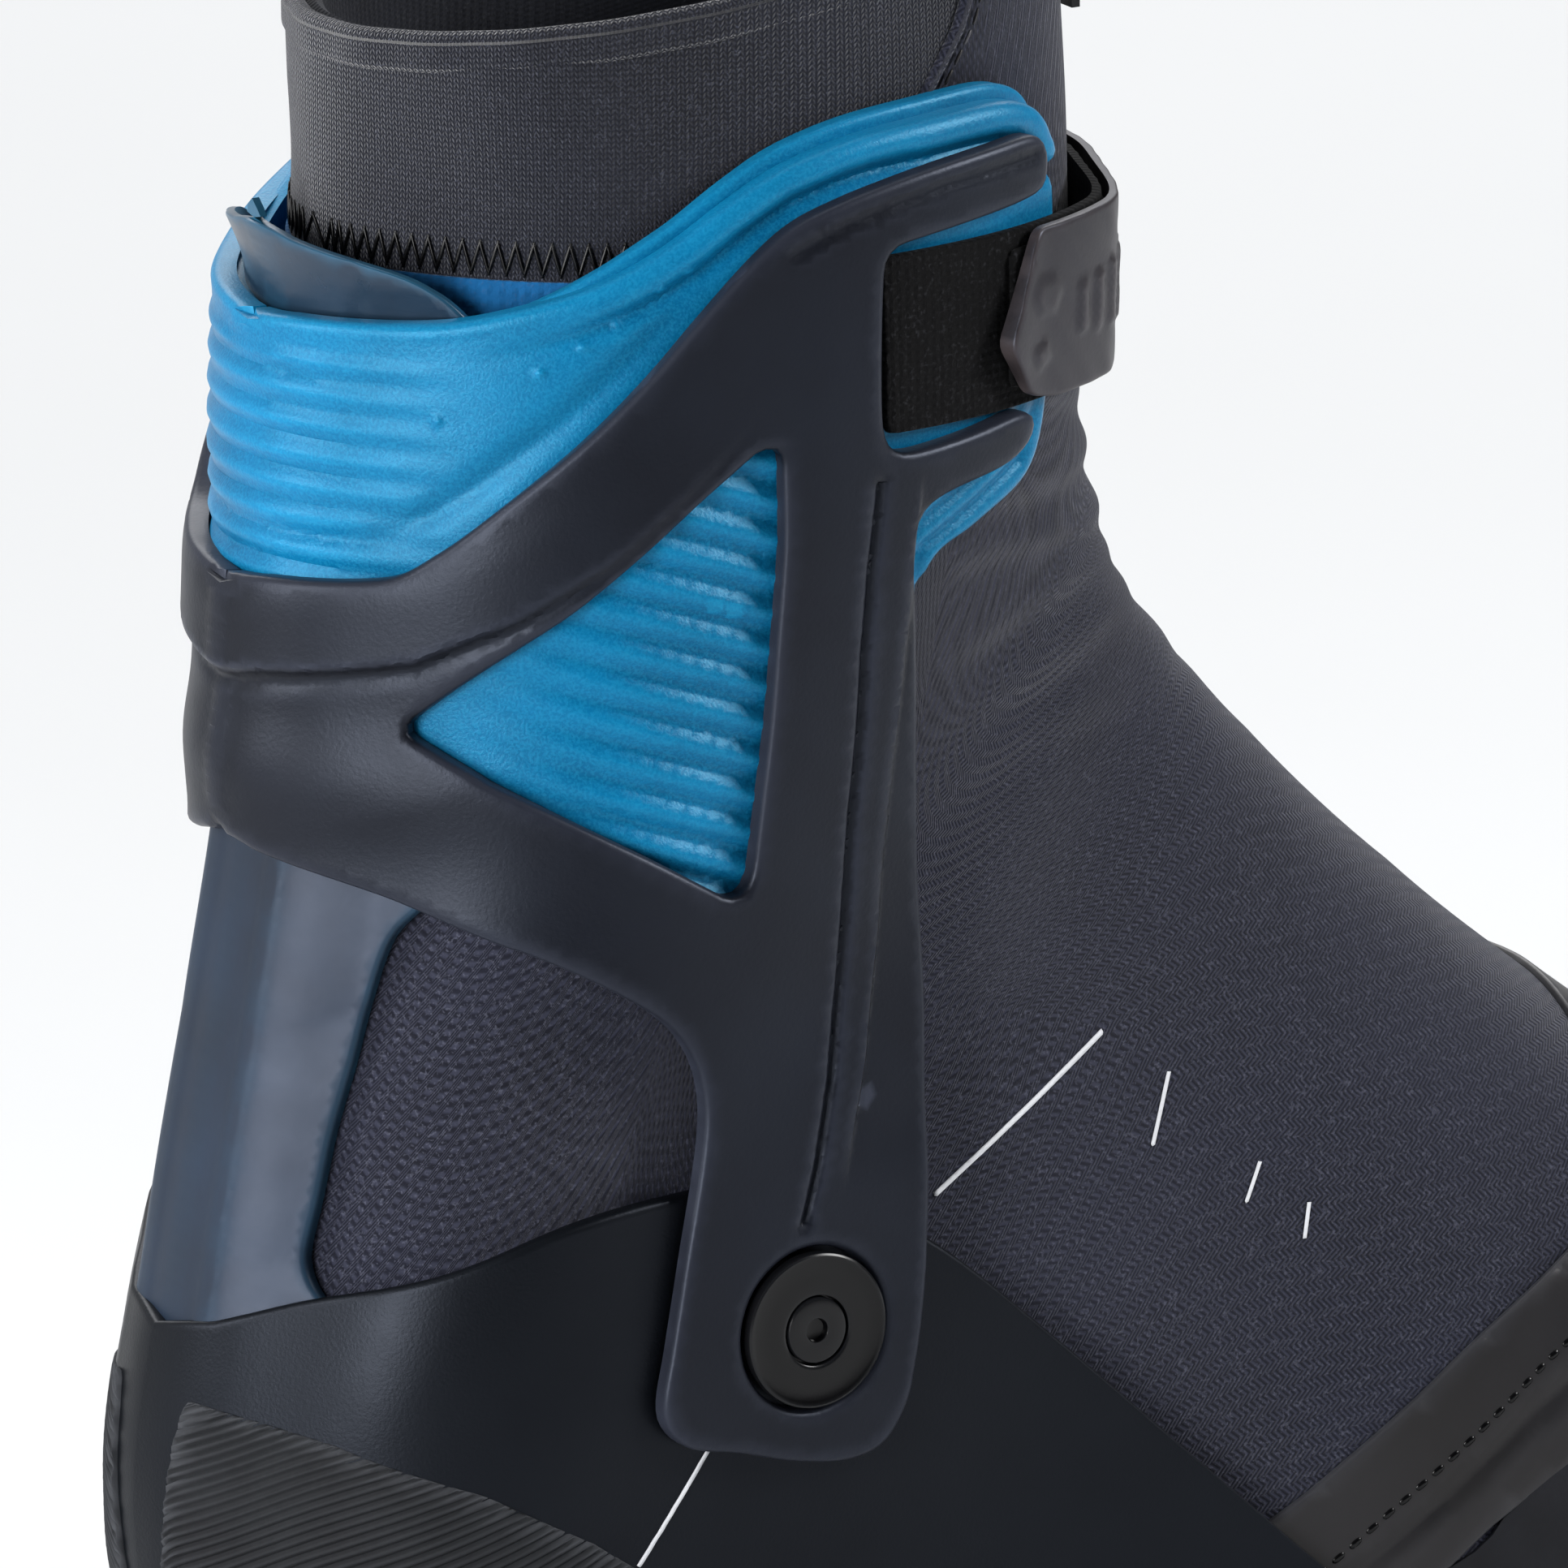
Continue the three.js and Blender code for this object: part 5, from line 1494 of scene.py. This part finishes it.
tf = np.linspace(0, 1, 90)[:, None]
tv = np.linspace(-1, 1, 31)[None, :]
TONGUE_DEPTH = -7.7
tongue_s = 5.1 + (17.3 - 5.1) * tf + 0 * tv
tongue_t = 0.335 * tv + 0 * tf
crown = (1 - np.abs(tv) ** 3) * np.clip(np.minimum(tf, 1 - tf) * 14, 0, 1) ** 0.5
t_out = lift(tongue_s, tongue_t, TONGUE_DEPTH + crown)
t_in = lift(tongue_s, tongue_t, TONGUE_DEPTH - 1.1 * crown - 0.2 * np.abs(np.sin(tf * 40)) * crown)
t_uv = np.stack([tongue_t * ROUND, tongue_s * UPWARD], -1)
tongue = loft("tongue_pad", np.concatenate([t_out, t_in[::-1], t_out[:1]]), closed=False,
              uv=np.concatenate([t_uv, t_uv[::-1], t_uv[:1]]), sharp=60)
finish_piece(tongue, None, ["tongue"], "liner_fabric")
bend(tongue)

fw = np.linspace(0, 1, 120)
foot_half = wall(fw, np.full(120, 30.0), lambda p: -8.0 + 0 * p[..., 0])[:, :2]
foot_half[0, 1] = foot_half[-1, 1] = 0
foot_loop = np.vstack([foot_half, foot_half[-2:0:-1] * [1, -1]])
spine_line = np.stack([np.clip(foot_loop[:, 0], 45, 235), 0 * foot_loop[:, 0]], -1)
bed = []
for f, z in ((0, 21.4), (0.6, 21.4), (0.97, 21.5), (1.0, 22.2), (1.0, 23.2), (0.985, 23.9), (0.95, 24.1),
             (0.85, 23.9), (0.7, 23.6), (0.5, 23.3), (0.3, 23.2), (0.1, 23.2), (0.0, 23.2)):
    q = spine_line + (foot_loop - spine_line) * f
    bed.append(np.stack([q[:, 0], q[:, 1], np.full(len(q), z)], -1))
bed = np.array(bed)
insole = loft("footbed_foam", bed, uv=bed[..., :2], sharp=60, flip=True)
finish_piece(insole, "lower_boot", ["footbed"], "blue_foam")


# ---------------------------------------------------------------- seams, stitches and printed lines
def capsules(name, ends, radius, body, material):
    """Short raised stitches as one mesh; ends has (point, point, normal) for each."""
    flat, n = 0.7, 7
    verts, faces = [], []
    for a, b, up in ends:
        along = (b - a) / max(np.linalg.norm(b - a), 1e-6)
        side = np.cross(along, up)
        base = len(verts)
        for f, r in ((-0.08, 0.35), (0.06, 0.85), (0.3, 1.0), (0.7, 1.0), (0.94, 0.85), (1.08, 0.35)):
            c = a + (b - a) * f
            for k in range(n):
                w = TURN * k / n
                verts.append(c + radius * r * (math.cos(w) * side + math.sin(w) * up * flat))
        for j in range(5):
            for k in range(n):
                o, m = base + j * n, base + (j + 1) * n
                faces.append((o + k, o + (k + 1) % n, m + (k + 1) % n, m + k))
        faces.append(tuple(base + k for k in range(n))[::-1])
        faces.append(tuple(base + 5 * n + k for k in range(n)))
    obj = mesh(name, verts, faces, uv=np.zeros((len(verts), 2)), sharp=80)
    return finish_piece(obj, body, (), material)


def points_on(place, path, offset):
    """Points of a domain path at a distance from the last, and the normals there."""
    s, t = place(path)
    return lift(s, t, np.full(len(path), offset)), normal(s, t)


def stitch_row(name, place, line, mirror, offset, length, gap, radius, body, material):
    """Stitches along a domain line and along its mirror image."""
    ends = []
    for l in (line, line * mirror):
        p = resample(l, 0.5, False)
        d = length_along(p)
        starts = np.arange(0, d[-1] - length, length + gap)
        a = np.stack([np.interp(starts, d, p[:, k]) for k in (0, 1)], -1)
        b = np.stack([np.interp(starts + length, d, p[:, k]) for k in (0, 1)], -1)
        pa, na = points_on(place, a, offset)
        pb, _ = points_on(place, b, offset)
        ends += list(zip(pa, pb, na))
    return capsules(name, ends, radius, body, material)


zig_u = np.arange(-84, 84.01, 1.15)
zig_z = 216.2 + 2.0 * ((np.arange(len(zig_u)) % 2) * 2 - 1)
zp, zn = points_on(from_leg, np.stack([zig_u, zig_z], -1), 0.35)
capsules("collar_zigzag", [(zp[k], zp[k + 1], zn[k]) for k in range(len(zp) - 1)], 0.24, "cuff", "hard_black")

lining = patch("collar_lining", np.array([(-92, 207.5), (92, 207.5), (92, 213.4), (-92, 213.4)], float), [],
               from_leg, lambda p: 0.75 + 0 * p[..., 0], 0.5, edge=0.2, step=1.6)
finish_piece(lining, "cuff", (), "mesh_blue")

seam_z = np.linspace(213.5, 254.3, 60)
seam_x = np.interp(seam_z, [211.8, 222.7, 240.8, 270.4], [77.3, 86.4, 99.9, 112.5])
seam_path = leg(list(zip(seam_x, seam_z)), 0.0)
for side, name in SIDES:
    a = from_leg(seam_path * [side, 1])
    pipe = tube(f"seam_piping_{name}", a[0], a[1], np.full(len(a[0]), 0.5), 0.85, n=10)
    finish_piece(pipe, "cuff", (), "dark_fabric")
stitch_row("seam_stitches", from_leg, seam_path + [3.0, 0], [-1, 1], 0.5, 2.0, 0.9, 0.25, "cuff",
           "satin_film")
stitch_row("band_stitches", from_foot, resample(band_edge, 1.0, False) + [-9.5, 2.0], [1, -1], 1.2, 1.9, 1.3,
           0.5, "lower_boot", "hard_black")


def stripe(name, a, b, width):
    """Thin printed line on the softshell between two side-view points, on both sides."""
    a, b = np.array(a), np.array(b)
    ends = leg([a + (b - a) * f for f in np.linspace(0, 1, 12)], 0.0, 3.0)
    along = np.gradient(ends, axis=0)
    along /= np.linalg.norm(along, axis=1, keepdims=True)
    across = np.stack([-along[:, 1], along[:, 0]], -1) * width / 2
    loop = np.vstack([ends + across, (ends - across)[::-1]])
    for side, label in SIDES:
        obj = patch(f"{name}_{label}", loop * [side, 1], [], from_leg,
                    lambda p: creases(p, np.full(p.shape[:-1], 1.2)) + 0.15, 0.1, edge=0, step=0.5, sharp=0)
        finish_piece(obj, "lower_boot", (), "reflective")


for which, a, b, width in (("long", (97, 88.5), (124, 105.5), 0.75), ("second", (133.5, 99), (130, 90), 0.55),
                           ("third", (145.5, 86), (143, 81), 0.5), ("fourth", (152, 80), (151, 75.5), 0.5)):
    stripe(f"print_line_{which}", a, b, width)

slash = on_wall([(60.6 - 9.8 * f, 61.4 - 14 * f) for f in np.linspace(0, 1, 8)], chassis_out)
across = np.array([-(slash[-1] - slash[0])[1], (slash[-1] - slash[0])[0]])
across *= 0.28 / np.linalg.norm(across)
for side, name in SIDES:
    line = patch(f"chassis_line_{name}", np.vstack([slash + across, (slash - across)[::-1]]) * [side, 1], [],
                 from_wall, lambda p: chassis_out(p) + 0.12, 0.1, edge=0, step=0.5, sharp=0)
    finish_piece(line, "lower_boot", (), "reflective")

# ---------------------------------------------------------------- light and floor
KEPT = {
    "chassis_plastic": ("chassis_shell", "toe_cap"),
    "cuff_plastic": ("cuff_frame",),
    "spine_plastic": ("achilles_spine", "rear_spoiler"),
    "blue_foam": ("cuff_pad", "footbed"),
    "dark_fabric": ("softshell_foot", "softshell_flex", "softshell_shaft"),
    "knit_fabric": ("knit_collar",),
    "liner_fabric": ("liner_foot", "liner_flex", "liner_shaft", "tongue"),
    "satin_film": ("vamp_band",),
    "sole_rubber": ("heel_panel_lateral", "heel_panel_medial", "outsole_heel_pad", "outsole_forefoot_pad"),
    "strap_fabric": ("loop_band", "strap_medial", "strap_flap", "hook_patch", "lace"),
    "carbon": ("shank_plate",),
    "steel": ("toe_bar", "strap_rivet_upper", "strap_rivet_lower", "pivot_nut_lateral", "pivot_nut_medial",
              "pivot_bush_lateral", "pivot_bush_medial"),
}
SLOT_OF = {name: slot for slot, names in KEPT.items() for name in names}
SOFTENED = ("outsole_heel_pad", "outsole_forefoot_pad", "binding_block", "zip_slider", "zip_puller",
            "zip_stop", "zip_track")
for name, node in NODES.items():
    slot = SLOT_OF.get(name, "hard_black")
    node.data.materials.clear()
    node.data.materials.append(M[slot])
    if name in SOFTENED:
        soft_edge = node.modifiers.new("edges", "BEVEL")
        soft_edge.width, soft_edge.segments, soft_edge.limit_method = 0.0004, 3, "ANGLE"

floor_mesh = bpy.data.meshes.new("floor")
floor_mesh.from_pydata([(-3, -3, 0), (3, -3, 0), (3, 3, 0), (-3, 3, 0)], [], [(0, 1, 2, 3)])
floor = bpy.data.objects.new("floor", floor_mesh)
bpy.context.scene.collection.objects.link(floor)
paint = Look("floor")
floor_mesh.materials.append(paint.close(paint.mix(paint.noise(3), rgb("#cccdce"), rgb("#d2d3d4")), 0.9,
                                        spec=0.1))
bpy.context.scene.view_settings.view_transform = "Standard"

world = bpy.data.worlds.new("studio")
bpy.context.scene.world = world
world.use_nodes = True
tree = world.node_tree
sky = tree.nodes["Background"]
way = tree.nodes.new("ShaderNodeTexCoord")
facing = tree.nodes.new("ShaderNodeVectorMath")
facing.operation = "DOT_PRODUCT"
facing.inputs[1].default_value = (-0.35, 0.88, 0.3)
fall = tree.nodes.new("ShaderNodeValToRGB")
dark_stop, pale_stop = fall.color_ramp.elements
dark_stop.position, dark_stop.color = 0.0, (0.05, 0.052, 0.056, 1)
pale_stop.position, pale_stop.color = 0.75, (0.8, 0.81, 0.83, 1)
tree.links.new(way.outputs["Generated"], facing.inputs[0])
tree.links.new(facing.outputs["Value"], fall.inputs[0])
tree.links.new(fall.outputs[0], sky.inputs[0])
sky.inputs[1].default_value = 0.8


def lamp(name, where, target, size, power):
    """Area lamp aimed at the target and hidden from the camera."""
    data = bpy.data.lights.new(name, "AREA")
    data.shape = "RECTANGLE"
    data.size, data.size_y = size
    data.energy = power
    obj = bpy.data.objects.new(name, data)
    obj.location = where
    direction = np.array(target) - np.array(where)
    yaw = math.atan2(direction[0], -direction[1])
    tilt = math.atan2(math.hypot(direction[0], direction[1]), -direction[2])
    obj.rotation_euler = (tilt, 0, yaw + math.pi)
    obj.visible_camera = False
    bpy.context.scene.collection.objects.link(obj)


lamp("left", (-1.0, -0.42, 0.3), (-0.1, 0, 0.14), (0.35, 0.55), 11)
lamp("right", (0.75, -0.6, 0.75), (-0.02, 0, 0.17), (0.4, 0.4), 13)
lamp("rear", (-0.7, 0.15, 0.34), (-0.1, -0.06, 0.2), (0.2, 0.34), 2.8)
lamp("top", (0.1, 0.2, 1.5), (0.0, 0.05, 0.15), (0.9, 0.5), 4)
lamp("sweep", (0.9, 1.9, 1.7), (0.6, 1.4, 0), (2.6, 1.6), 55)
